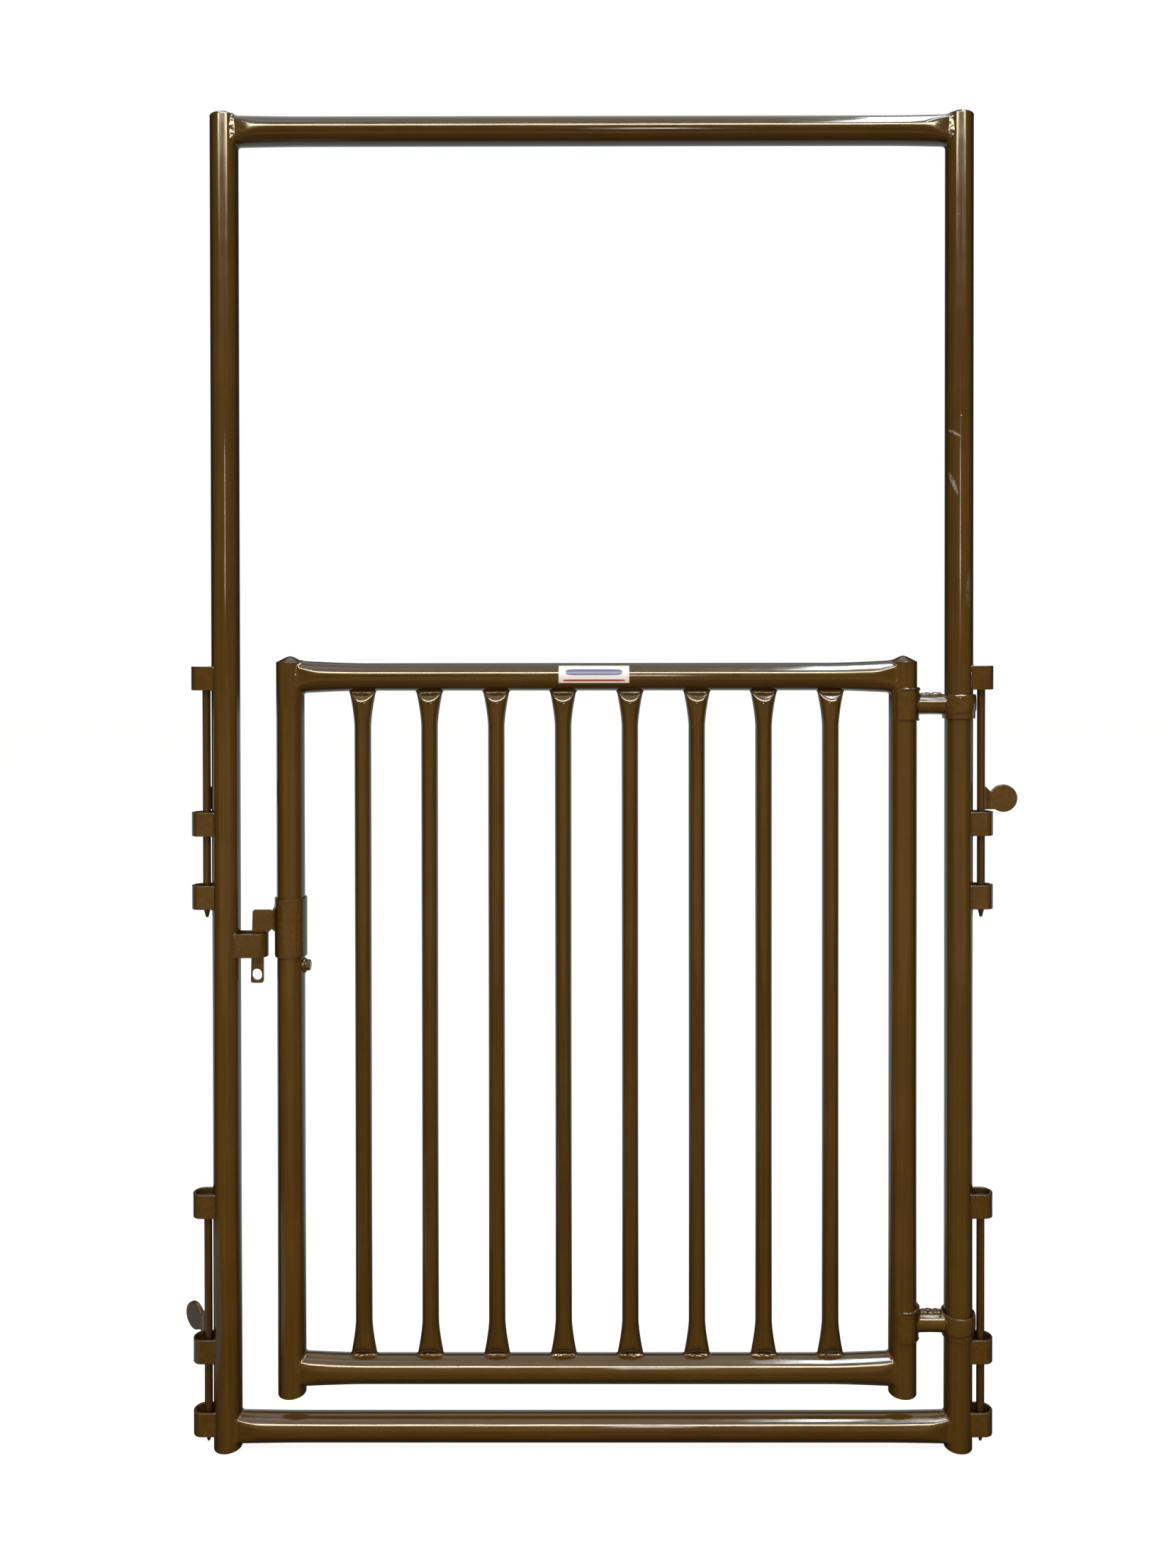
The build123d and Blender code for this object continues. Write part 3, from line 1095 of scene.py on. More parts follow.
@dataclass
class Uprights(Assembly):
    """The two posts and the gate's two stiles, with their domed caps."""

    sides: int = 96
    wall: float = 2.1 * MM
    rim: float = 0.5 * MM
    rim_angle: float = 60.0
    tube_sunk: float = 1.2
    cap_seam: float = 0.5 * MM
    cap_bead: float = 2.6 * MM
    bead_steps: int = 6
    cap_over: float = 0.15 * MM
    skirt_over: float = 0.05 * MM
    cap_proud: float = 1.0 * MM
    cap_steps: int = 14
    cap_lump: float = 0.35 * MM
    cap_pitch: float = 5.0 * MM
    cap_angle: float = math.radians(60)

    def build(self) -> None:
        """Makes every upright and its cap."""
        for node, body, coat, cap_coat in (
            ("left_post", Body.FRAME, Coat.FRAME, Coat.FRAME),
            ("right_post", Body.FRAME, Coat.RUBBED, Coat.FRAME),
            ("latch_stile", Body.GATE, Coat.GATE, Coat.GATE),
            ("hinge_stile", Body.GATE, Coat.GATE, Coat.GATE),
        ):
            self.tube(node, body, coat)
            self.dome(node, body, cap_coat)

    def tube(self, node: str, body: Body, coat: Coat) -> None:
        """Makes one open-ended tube with eased rims, which ends inside its cap's rounded edge.

        Args:
            node: The frame's node for it.
            body: The body that it rides on.
            coat: Its finish.
        """
        room = Room.of(node)
        hidden = self.tube_sunk * self.cap_bead
        middle = room.centre - Vector((0.0, 0.0, hidden / 2))
        piece = stock(room.size.x / 2, room.size.z - hidden, middle, self.sides)
        finish_with(piece, "SOLIDIFY", thickness=self.wall, offset=-1.0)
        ease_edges(piece, self.rim, segments=2, angle=self.rim_angle)
        smooth(piece)
        self.dress(piece, f"{node}_tube", body.value, coat, [node])

    def dome(self, node: str, body: Body, coat: Coat) -> None:
        """Makes the pressed cap on one upright, with the bead that closes its rim.

        Args:
            node: The frame's node for the upright.
            body: The body that it rides on.
            coat: The cap's finish.
        """
        tube = Room.of(node)
        cap = Room.of(f"{node}_cap")
        radius = tube.size.x / 2
        rise = cap.high.z - tube.high.z + self.cap_proud
        top = tube.high.z
        rings = [
            Ring.round(top - 1.6 * self.cap_bead, radius - self.cap_seam),
            Ring.round(top - 1.5 * self.cap_bead, radius + self.skirt_over),
        ]
        for step in range(1, self.bead_steps):
            angle = math.radians(90.0 * step / self.bead_steps)
            inward = self.cap_bead * (1 - math.cos(angle))
            height = top - self.cap_bead * (1 - math.sin(angle))
            rings.append(Ring.round(height, radius + self.cap_over - inward))
        edge = radius - self.cap_bead
        for step in range(self.cap_steps):
            share = 1 - (step + 0.4) / self.cap_steps
            rings.append(Ring.round(top + bell(share, rise), edge * share))
        piece = draw_out(rings, vertices=self.sides)
        move_to(piece, (tube.centre.x, 0.0, 0.0))
        for point in piece.data.vertices:
            away = (point.co.z - top + 0.4 * self.cap_bead) / self.cap_bead
            rough = noise.noise(point.co / self.cap_pitch) * math.exp(-(away**2))
            out = Vector((point.co.x - tube.centre.x, point.co.y, 0.0)).normalized()
            point.co += out * self.cap_lump * rough
        smooth(piece, self.cap_angle)
        self.dress(piece, f"{node}_dome", body.value, coat, [f"{node}_cap"])


@dataclass(frozen=True)
class Press:
    """How a rail's end is pressed: how much taller it grows, and how flat it is at the weld."""

    rise: float
    flat: float


@dataclass
class Rails(Assembly):
    """The level tubes, pressed tall and flat-sided where they meet an upright, and their welds."""

    frame_press: Press = Press(2.2 * MM, 16.4 * MM)
    gate_press: Press = Press(5.0 * MM, 19.0 * MM)
    sides: int = 96
    let_in: float = 0.72
    near_step: float = 4.0 * MM
    near_steps: int = 12
    far_step: float = 12.0 * MM
    far_steps: int = 5
    press_length: float = 120.0 * MM
    flat_slope: float = 0.19
    crease: float = 3.0 * MM
    weld_leg: float = 3.6 * MM
    weld_run: float = 5.0 * MM
    leg_drift: float = 0.4
    run_drift: float = 0.3
    drift_scale: float = 120.0
    weld_side: float = 0.97
    weld_over: float = 1.6
    weld_over_least: float = 0.4
    weld_fill: float = 0.10
    weld_lump: float = 0.38 * MM
    weld_sunk: float = 0.12 * MM
    weld_points: int = 150

    def build(self) -> None:
        """Makes the four rails and the weld at each end."""
        posts = ("left_post", "right_post")
        stiles = ("latch_stile", "hinge_stile")
        for node, body, coat, uprights, press in (
            ("top_rail", Body.FRAME, Coat.FRAME_LEVEL, posts, self.frame_press),
            ("bottom_rail", Body.FRAME, Coat.FRAME_LEVEL, posts, self.frame_press),
            ("gate_top_rail", Body.GATE, Coat.GATE_LEVEL, stiles, self.gate_press),
            ("gate_bottom_rail", Body.GATE, Coat.GATE_LEVEL, stiles, self.gate_press),
        ):
            self.rail(node, body, coat, *uprights, press)

    def eased(self, away: float) -> float:
        """How much of the pressing is left at a distance from the upright's middle."""
        return max(0.0, 1.0 - away / self.press_length) ** 1.5

    def die(self, away: float, radius: float, press: Press) -> float:
        """How far from the middle the press stops, by the distance from the upright's middle."""
        return press.flat + self.flat_slope * (away - radius)

    def skin(self, turn: float, away: float, radius: float, press: Press) -> Vector:
        """A point on a rail's surface, from the middle of the upright that it meets.

        Args:
            turn: The turn round the rail, from its back.
            away: The distance along the rail.
            radius: The rail's round radius.
            press: How its end is pressed.

        Returns:
            The point, with the rail running along +X.
        """
        deep = radius * abs(math.cos(turn))
        deep = min(deep, soft_least(deep, self.die(away, radius, press), self.crease))
        tall = radius + press.rise * self.eased(away)
        return Vector((away, math.copysign(deep, math.cos(turn)), tall * math.sin(turn)))

    def rail(self, node: str, body: Body, coat: Coat, left: str, right: str, press: Press) -> None:
        """Makes one rail between two uprights, with a weld at each end.

        Args:
            node: The frame's node for it.
            body: The body that it rides on.
            coat: Its finish.
            left: The upright at its left end.
            right: The upright at its right end.
            press: How its ends are pressed.
        """
        start = Room.of(left)
        radius = start.size.x / 2
        length = Room.of(right).centre.x - start.centre.x
        height = Room.of(node).centre.z
        inset = self.let_in * radius
        near = [inset + step * self.near_step for step in range(self.near_steps)]
        near += [near[-1] + step * self.far_step for step in range(1, self.far_steps + 1)]
        stations = near + [length - away for away in reversed(near)]
        rings = []
        for along in stations:
            tall = radius + press.rise * self.eased(min(along, length - along))
            rings.append(Ring(along, tall, radius))
        piece = draw_out(rings, vertices=self.sides)
        press_flat(
            piece,
            lambda along: self.die(min(along, length - along), radius, press),
            self.crease,
        )
        move_to(piece, (start.centre.x, 0.0, height), (0.0, math.pi / 2, 0.0))
        smooth(piece)
        self.dress(piece, f"{node}_tube", body.value, coat, [node])
        for end, side, upright in (("left", 1, left), ("right", -1, right)):
            weld = self.weld(side, upright, height, press)
            self.dress(weld, f"{node}_{end}_weld", body.value, Coat.WELD)

    def weld(self, side: int, upright: str, height: float, press: Press) -> Piece:
        """The weld round one end, drawn hollow between the rail and the upright's round face.

        Args:
            side: 1 at a rail's left end, -1 at its right end.
            upright: The upright's node.
            height: The rail's height.
            press: How its end is pressed.

        Returns:
            The weld.
        """
        post = Room.of(upright)
        radius = post.size.x / 2
        rim = post.high.z - height
        dome = Room.of(f"{upright}_cap").high.z - post.high.z
        limit = self.weld_side * radius
        seed = len(self.shop.pieces)
        wander = Vector((1.7 * seed, 0.0, 0.0))
        sections = []
        for step in range(self.weld_points):
            turn = 2 * math.pi * step / self.weld_points
            away = radius
            for _ in range(4):
                corner = self.skin(turn, away, radius, press)
                away = math.sqrt(radius**2 - corner.y**2)
            rough = noise.noise(corner * self.drift_scale + wander)
            out = Vector((0.0, corner.y, corner.z)).normalized()
            out = out * self.weld_leg * (1 + self.leg_drift * rough)
            y = max(-limit, min(limit, corner.y + out.y))
            z = corner.z + out.z
            reach = radius
            if z > rim:
                reach = max(self.weld_over_least * radius, radius - self.weld_over * (z - rim))
                z = rim + bell(reach / radius, dome)
            x = math.sqrt(max(0.0, reach**2 - y**2))
            first = Vector((x - self.weld_sunk, y, z - self.weld_sunk))
            rough = noise.noise(corner * self.drift_scale - wander)
            run = self.weld_run * (1 + self.run_drift * rough)
            second = self.skin(turn, away + run, radius - self.weld_sunk, press)
            section = hollow(first, second, corner, self.weld_fill)
            sections.append(
                [Vector((post.centre.x + side * at.x, at.y, height + at.z)) for at in section]
            )
        weld = lay_fillet(sections, self.weld_lump, seed)
        smooth(weld, WELD_ANGLE)
        return weld


@dataclass
class Pickets(Assembly):
    """The gate's thin tubes, with both ends pressed flat and welded to its rails."""

    count: int = 8
    sides: int = 72
    flat_width: float = 43.0 * MM
    flat_thickness: float = 4.6 * MM
    flat_slope: float = 0.64
    crease: float = 3.6 * MM
    press_length: float = 58.0 * MM
    near_step: float = 1.25 * MM
    far_step: float = 4.0 * MM
    bedding: float = 0.6 * MM
    weld_leg: float = 4.2 * MM
    leg_taper: float = 0.3
    leg_drift: float = 0.3
    rise_taper: float = 0.35
    rise_drift: float = 0.15
    drift_scale: float = 70.0
    foot_rise: float = 3.6 * MM
    foot_fill: float = 1.25
    foot_lump: float = 0.9 * MM
    head_rise: float = 6.2 * MM
    head_fill: float = 0.05
    head_lump: float = 0.12 * MM
    weld_sunk: float = 0.12 * MM
    weld_points: int = 132
    weld_corner: float = 6.0 * MM

    def build(self) -> None:
        """Models one picket, copies it, and welds each one."""
        low = Room.of("gate_bottom_rail").centre.z + self.rail_radius
        high = Room.of("gate_top_rail").centre.z - self.rail_radius
        pattern = self.tube(low - self.bedding, high + self.bedding)
        for number in range(1, self.count + 1):
            node = f"picket_{number}"
            x = Room.of(node).centre.x
            piece = copy_of(pattern)
            move_to(piece, (x, 0.0, 0.0))
            smooth(piece)
            self.dress(piece, f"{node}_tube", Body.GATE.value, Coat.PICKET, [node])
            for end, height, up in (("foot", low, 1), ("head", high, -1)):
                weld = self.weld(x, height, up)
                self.dress(weld, f"{node}_{end}_weld", Body.GATE.value, Coat.WELD)
        scrap(pattern)

    @property
    def rail_radius(self) -> float:
        """Half the rails' round width, which their uprights share."""
        return Room.of("latch_stile").size.x / 2

    @property
    def radius(self) -> float:
        """Half a picket's round width."""
        return Room.of("picket_1").size.y / 2

    def wide(self, away: float) -> float:
        """A picket's half width at a distance from its end."""
        share = max(0.0, 1 - away / self.press_length) ** 1.5
        return self.radius + (self.flat_width / 2 - self.radius) * share

    def die(self, away: float) -> float:
        """How far from the middle the press stops at a distance from a picket's end."""
        return self.flat_thickness / 2 + self.flat_slope * away

    def tube(self, low: float, high: float) -> Piece:
        """One picket on the Z axis.

        Args:
            low: Height of its foot.
            high: Height of its head.

        Returns:
            The picket, to be copied.
        """
        near = [step * self.near_step for step in range(25)]
        near += [step * self.far_step for step in range(9, 15)]
        near.append(self.press_length)
        stations = [low + away for away in near] + [high - away for away in reversed(near)]
        rings = [
            Ring(along, self.wide(min(along - low, high - along)), self.radius)
            for along in stations
        ]
        piece = draw_out(rings, vertices=self.sides)
        press_flat(piece, lambda along: self.die(min(along - low, high - along)), self.crease)
        return piece

    def skin(self, turn: float, away: float) -> Vector:
        """A point on a picket's surface.

        Args:
            turn: The turn round it.
            away: The distance from its end.

        Returns:
            The point, with the picket's end at the origin and the picket above it.
        """
        deep = self.radius * abs(math.sin(turn))
        deep = min(deep, soft_least(deep, self.die(away), self.crease))
        across = self.wide(away) * math.cos(turn)
        return Vector((across, math.copysign(deep, math.sin(turn)), away))

    def weld(self, x: float, height: float, up: int) -> Piece:
        """The weld round one flat end, drawn hollow between the picket and the rail.

        Args:
            x: The picket's place.
            height: Where it meets the rail.
            up: 1 at a foot, -1 at a head.

        Returns:
            The weld.
        """
        rail = self.rail_radius
        rise, fill, lump = self.head_rise, self.head_fill, self.head_lump
        if up > 0:
            rise, fill, lump = self.foot_rise, self.foot_fill, self.foot_lump
        seed = len(self.shop.pieces)
        wander = Vector((1.3 * seed, 0.0, 0.0))
        sections = []
        for step in range(self.weld_points):
            turn = 2 * math.pi * step / self.weld_points
            corner = self.skin(turn, 0.0)
            rough = noise.noise(corner * self.drift_scale + wander)
            end = abs(corner.x) - self.wide(0.0) + self.weld_corner
            end = max(0.0, end) / self.weld_corner
            out = Vector((math.copysign(end**2, corner.x), 2 * corner.y / self.flat_thickness, 0.0))
            uneven = 1 - self.leg_taper * end + self.leg_drift * rough
            first = corner + out.normalized() * self.weld_leg * uneven
            first.z = math.sqrt(rail**2 - first.y**2) - rail - self.weld_sunk
            corner.z = math.sqrt(rail**2 - corner.y**2) - rail
            up_to = rise * (1 - self.rise_taper * end + self.rise_drift * rough)
            second = self.skin(turn, up_to)
            second.y -= math.copysign(self.weld_sunk, second.y)
            section = hollow(first, second, corner, fill)
            sections.append([Vector((x + at.x, at.y, height + up * at.z)) for at in section])
        weld = lay_fillet(sections, lump, seed)
        smooth(weld, WELD_ANGLE)
        return weld


class LoopPlace(Enum):
    """The three loops of one connector."""

    LOW = "low"
    MIDDLE = "middle"
    TOP = "top"


@dataclass
class Straps(Assembly):
    """The U-bent strap loops on the posts and the longer one that keeps the latch."""

    sides: int = 72
    thickness: float = 4.2 * MM
    edge: float = 0.9 * MM
    let_in: float = 2.4 * MM
    bead: float = 2.6 * MM
    bead_ripple: float = 0.04
    bead_lump: float = 0.16
    bead_sunk: float = 1.8 * MM
    bead_points: int = 48
    bead_inset: float = 0.4 * MM
    bead_turn: float = 4.0 * MM
    turn_from: float = 0.8
    turn_sunk: float = 0.15
    bead_straight: float = 0.86

    def build(self) -> None:
        """Makes every loop and its two welds."""
        for side in Side:
            post = Room.of(f"{side.word}_post")
            for level in Level:
                for place in LoopPlace:
                    self.loop(f"{side.word}_{level.value}_{place.value}_loop", post, side.value)
        self.loop("latch_keeper", Room.of("left_post"), 1)

    def loop(self, node: str, post: Room, way: int) -> None:
        """Makes one strap, bent round and set against its post, and its welds.

        Args:
            node: The frame's node for it.
            post: The post that it is welded to.
            way: 1 where it faces +X, -1 where it faces -X.
        """
        room = Room.of(node)
        bend = room.size.y / 2
        tip = room.high.x if way > 0 else room.low.x
        middle = tip - way * bend
        foot = post.centre.x + way * math.sqrt((post.size.x / 2) ** 2 - bend**2)
        piece = stock(bend, room.size.z, (middle, 0.0, room.centre.z), self.sides)
        open_mesh(piece)
        bpy.ops.mesh.bisect(plane_co=(middle, 0.0, 0.0), plane_no=(way, 0.0, 0.0), clear_inner=True)
        pick(
            piece,
            MeshPart.EDGE,
            lambda at: abs(at.x - middle) < TOUCH and abs(at.z - room.centre.z) < TOUCH,
        )
        bpy.ops.mesh.extrude_region_move(
            TRANSFORM_OT_translate={"value": (foot - way * self.let_in - middle, 0.0, 0.0)}
        )
        close_mesh()
        finish_with(piece, "SOLIDIFY", thickness=self.thickness, offset=-1.0, use_even_offset=True)
        ease_edges(piece, self.edge)
        smooth(piece)
        self.dress(piece, f"{node}_strap", Body.FRAME.value, Coat.FITTING, [node])
        for face, word in ((-1, "front"), (1, "back")):
            path = self.seam(room, foot, way, face)
            seed = len(self.shop.pieces)
            bead = lay_bead(path, self.bead, seed, ripple=self.bead_ripple, lump=self.bead_lump)
            smooth(bead, WELD_ANGLE)
            self.dress(bead, f"{node}_{word}_weld", Body.FRAME.value, Coat.WELD)

    def seam(self, room: Room, foot: float, way: int, face: int) -> list[Vector]:
        """The line of one weld, up the strap's foot and a little way round its two edges.

        Args:
            room: The strap's box.
            foot: Where the strap meets its post, along X.
            way: 1 where the strap faces +X, -1 where it faces -X.
            face: -1 for the front, 1 for the back.

        Returns:
            The points along it.
        """
        low, high = room.low.z + self.bead_inset, room.high.z - self.bead_inset
        side = room.size.y / 2 - self.bead_sunk
        path = []
        for step in range(self.bead_points):
            share = 2 * step / (self.bead_points - 1) - 1
            out = self.bead_turn * max(0.0, abs(share) - self.turn_from) / (1 - self.turn_from)
            rise = max(-1.0, min(1.0, share / self.bead_straight))
            z = (low + high) / 2 + (high - low) / 2 * rise
            path.append(Vector((foot + way * out, face * (side - self.turn_sunk * out), z)))
        return path


@dataclass
class DropPins(Assembly):
    """The four pointed rods and the flat disc handles welded to them."""

    rod_sides: int = 40
    point_length: float = 17.0 * MM
    point_radius: float = 2.25 * MM
    point_round: float = 0.8 * MM
    head_round: float = 1.2 * MM
    plate: float = 6.4 * MM
    disc_radius: float = 22.0 * MM
    disc_sides: int = 96
    overhang: float = 4.0 * MM
    neck_length: float = 7.2 * MM
    disc_drop: float = 1.8 * MM
    neck_foot: float = 2.6 * MM
    neck_height: float = 29.0 * MM
    root_depth: float = 11.6 * MM
    root_height: float = 37.0 * MM
    root_run: float = 8.0 * MM
    root_taper: float = 0.9
    clearance: float = 0.3 * MM
    bore_low: float = -30.0 * MM
    bore_high: float = 70.0 * MM
    drip: float = 2.3 * MM
    drip_seed: int = 47
    drips: tuple[float, ...] = (98.0, 122.0, 138.0, 152.0)
    lump: float = 0.22 * MM
    lump_pitch: float = 6.5 * MM
    voxel: float = 0.7 * MM
    handle_angle: float = math.radians(80)
    turns: tuple[tuple[str, float], ...] = (
        ("left_upper", -115.0),
        ("left_lower", -37.0),
        ("right_upper", 0.0),
        ("right_lower", 71.0),
    )

    def build(self) -> None:
        """Makes each rod, then copies the handle to it."""
        handle = self.handle()
        for word, turn in self.turns:
            rod = Room.of(f"{word}_pin")
            self.rod(f"{word}_pin", rod)
            outward = 0.0 if word.startswith(Side.RIGHT.word) else math.pi
            seat = Room.of(f"{word}_paddle").low.z + self.overhang
            facing = (0.0, 0.0, outward + math.radians(turn))
            piece = copy_of(handle)
            move_to(piece, (rod.centre.x, 0.0, seat), facing)
            smooth(piece, self.handle_angle)
            self.dress(piece, f"{word}_handle", f"{word}_paddle", Coat.PIN, [f"{word}_paddle"])
        scrap(handle)

    def rod(self, node: str, room: Room) -> None:
        """Makes one round rod with a blunt point and an eased head.

        Args:
            node: The frame's node for it, which is also its body.
            room: The node's box.
        """
        radius = room.size.x / 2
        low, high = room.low.z, room.high.z
        blunt, shoulder = self.point_round, low + self.point_length
        rings = [
            Ring.round(low, self.point_radius - blunt),
            Ring.round(low + 0.35 * blunt, self.point_radius - 0.3 * blunt),
            Ring.round(low + blunt, self.point_radius),
            Ring.round(shoulder - blunt, radius - 0.25 * blunt),
            Ring.round(shoulder + blunt, radius),
            Ring.round(high - self.head_round, radius),
            Ring.round(high - 0.3 * self.head_round, radius - 0.3 * self.head_round),
            Ring.round(high, radius - self.head_round),
        ]
        piece = draw_out(rings, vertices=self.rod_sides)
        move_to(piece, (room.centre.x, 0.0, 0.0))
        smooth(piece)
        self.dress(piece, f"{node}_rod", node, Coat.ROD, [node])

    def handle(self) -> Piece:
        """The disc, its neck and the root that meets the rod, flowed together under their paint.

        Returns:
            The handle, with the rod's axis on Z and its seat at zero.
        """
        rod_radius = Room.of("left_upper_pin").size.x / 2
        reach = rod_radius + self.neck_length + self.disc_radius
        middle = Vector((reach, 0.0, self.disc_radius - self.disc_drop))
        face = stock(self.disc_radius, self.plate, middle, self.disc_sides, lying=True)
        neck = self.bar(reach, self.plate, self.neck_height)
        root = self.bar(rod_radius + self.root_run, self.root_depth, self.root_height)
        self.taper(root, rod_radius)
        places = []
        for turn in self.drips:
            rim = Vector((math.cos(math.radians(turn)), 0.0, math.sin(math.radians(turn))))
            front = middle + Vector((0.0, 0.3 * self.plate, 0.0))
            places.append(front + rim * (self.disc_radius - 0.4 * self.drip))
        piece = join([face, neck, root, *spatter(places, self.drip, self.drip_seed)])
        finish_with(piece, "REMESH", mode="VOXEL", voxel_size=self.voxel)
        finish_with(piece, "SMOOTH", factor=0.5, iterations=12)
        raised = [
            point.co + point.normal * self.lump * noise.noise(point.co / self.lump_pitch)
            for point in piece.data.vertices
        ]
        for point, spot in zip(piece.data.vertices, raised):
            point.co = spot
        bore = draw_out([Ring.round(self.bore_low, 1.0), Ring.round(self.bore_high, 1.0)])
        bore.scale = (rod_radius + self.clearance, rod_radius + self.clearance, 1.0)
        settle(bore)
        finish_with(piece, "BOOLEAN", operation="DIFFERENCE", object=bore, solver="EXACT")
        scrap(bore)
        return piece

    def bar(self, length: float, depth: float, height: float) -> Piece:
        """A box that runs out from the rod's axis at the neck's foot."""
        return block((length, depth, height), (length / 2, 0.0, self.neck_foot + height / 2))

    def taper(self, root: Piece, rod_radius: float) -> None:
        """Draws the root in beyond the rod, to the neck's depth and height.

        Args:
            root: The root as a plain box.
            rod_radius: The rod's radius.
        """
        open_mesh(root)
        bpy.ops.mesh.bisect(plane_co=(rod_radius, 0.0, 0.0), plane_no=(1.0, 0.0, 0.0))
        pick(root, MeshPart.VERTEX, lambda at: at.x > rod_radius + TOUCH)
        bpy.ops.transform.resize(
            value=(1.0, self.root_taper * self.plate / self.root_depth, 1.0),
            center_override=(0.0, 0.0, 0.0),
        )
        pick(
            root,
            MeshPart.VERTEX,
            lambda at: at.x > rod_radius + TOUCH and at.z > self.neck_height / 2,
        )
        bpy.ops.transform.translate(value=(0.0, 0.0, self.neck_height - self.root_height))
        close_mesh()


@dataclass
class Hinge(Assembly):
    """One hinge: a plate round the stile, a pipe arm and a formed band round the post."""

    level: Level
    sides: int = 108
    plate: float = 3.2 * MM
    plate_wrap: float = 246.0
    plate_edge: float = 1.5 * MM
    plate_corner: float = 5.0 * MM
    bore: float = 23.03 * MM
    lip_radius: float = 25.6 * MM
    lip_height: float = 9.5 * MM
    lip_tilt: float = -3.2 * MM
    band_radius: float = 27.0 * MM
    band_swell: float = 0.45 * MM
    band_steps: int = 9
    band_angle: float = math.radians(50)
    pipe_radius: float = 16.7 * MM
    pipe_sides: int = 72
    pipe_steps: int = 12
    pipe_drawn: float = 0.5 * MM
    pipe_let_in: float = 2.0 * MM
    bead: float = 3.0 * MM
    bead_lump: float = 0.5
    edge_points: int = 60
    edge_ripple: float = 0.1
    seam_points: int = 30
    seam_ripple: float = 0.05
    seam_sunk: float = 1.5 * MM
    arm_weld_points: int = 96
    arm_weld_leg: float = 3.6 * MM
    arm_weld_even: float = 0.62
    arm_weld_fill: float = 0.35
    arm_weld_lump: float = 0.4 * MM
    arm_weld_sunk: float = 0.15 * MM
    drops: int = 6
    drop: float = 2.2 * MM
    first_seed: int = 300

    def build(self) -> None:
        """Makes the hinge's parts and their welds."""
        self.saddle()
        self.arm()
        self.band()
        self.welds()

    @property
    def word(self) -> str:
        """How the names of its nodes and pieces begin."""
        return f"{self.level.value}_hinge"

    @property
    def stile(self) -> Room:
        """The stile that the plate sits on."""
        return Room.of("hinge_stile")

    @property
    def post(self) -> Room:
        """The post that the band turns on."""
        return Room.of("right_post")

    def saddle(self) -> None:
        """Makes the part-round plate on the stile, with its corners rounded."""
        stile = self.stile
        node = f"{self.word}_saddle"
        room = Room.of(node)
        radius = stile.size.x / 2
        half = math.radians(self.plate_wrap / 2)
        middle = radius + self.plate / 2
        piece = stock(radius, room.size.z, (stile.centre.x, 0.0, room.centre.z), self.sides)
        open_mesh(piece)
        pick(piece, MeshPart.FACE, lambda at: abs(math.atan2(at.y, at.x - stile.centre.x)) > half)
        bpy.ops.mesh.delete(type="FACE")
        close_mesh()
        finish_with(piece, "SOLIDIFY", thickness=self.plate, offset=1.0)
        open_mesh(piece)
        pick(
            piece,
            MeshPart.EDGE,
            lambda at: abs(math.hypot(at.x - stile.centre.x, at.y) - middle) < 0.3 * self.plate
            and abs(abs(at.z - room.centre.z) - room.size.z / 2) < TOUCH
            and abs(math.atan2(at.y, at.x - stile.centre.x)) > half - math.radians(1.5),
        )
        bpy.ops.mesh.bevel(offset=self.plate_corner, segments=5, affect="EDGES")
        close_mesh()
        ease_edges(piece, self.plate_edge)
        smooth(piece)
        self.dress(piece, f"{self.word}_plate", Body.GATE.value, Coat.FITTING, [node])

    def arm(self) -> None:
        """Makes the pipe between plate and band, a little drawn in at its middle."""
        node = f"{self.word}_arm"
        height = Room.of(node).centre.z
        start = self.stile.centre.x + self.stile.size.x / 2 - self.pipe_let_in
        end = self.post.centre.x - self.band_radius + self.pipe_let_in
        length = end - start
        rings = []
        for step in range(self.pipe_steps + 1):
            share = step / self.pipe_steps
            drawn = self.pipe_drawn * math.sin(math.pi * share)
            rings.append(Ring.round(share * length, self.pipe_radius - drawn))
        piece = draw_out(rings, vertices=self.pipe_sides)
        move_to(piece, (start, 0.0, height), (0.0, math.pi / 2, 0.0))
        smooth(piece)
        self.dress(piece, f"{self.word}_pipe", Body.GATE.value, Coat.FITTING, [node])

    def band(self) -> None:
        """Makes the formed band, swelling over its middle and drawn in to a lip at its foot."""
        node = f"{self.word}_eye"
        room = Room.of(node)
        tall, lip = room.size.z, self.lip_height
        outer = [
            (0.0, self.bore + 0.5 * MM),
            (0.5 * MM, self.lip_radius - 0.3 * MM),
            (1.4 * MM, self.lip_radius),
            (lip - 2.2 * MM, self.lip_radius),
            (lip - 0.8 * MM, self.lip_radius + 0.25 * MM),
            (lip + 0.8 * MM, self.band_radius - 0.25 * MM),
        ]
        for step in range(1, self.band_steps):
            share = step / self.band_steps
            z = lip + 0.8 * MM + share * (tall - lip - 1.8 * MM)
            swell = self.band_swell * math.sin(math.pi * share) ** 0.8
            outer.append((z, self.band_radius + swell))
        outer.append((tall - 0.6 * MM, self.band_radius - 0.5 * MM))
        outer.append((tall, self.band_radius - 1.4 * MM))
        inner = [(tall, self.bore + 0.6 * MM), (tall - 0.7 * MM, self.bore), (0.5 * MM, self.bore)]
        rings = [Ring.round(z, radius) for z, radius in outer + inner]
        piece = draw_out(rings, vertices=self.sides, ends=Ends.JOINED)
        for point in piece.data.vertices:
            if math.hypot(point.co.x, point.co.y) > self.bore + 1.0 * MM:
                share = math.sin(math.pi * min(1.0, point.co.z / (2 * lip))) ** 2
                facing = -point.co.x / self.band_radius
                point.co.z += self.lip_tilt * facing * share
        move_to(piece, (self.post.centre.x, 0.0, room.low.z))
        smooth(piece, self.band_angle)
        self.dress(piece, f"{self.word}_band", Body.GATE.value, Coat.FITTING, [node])

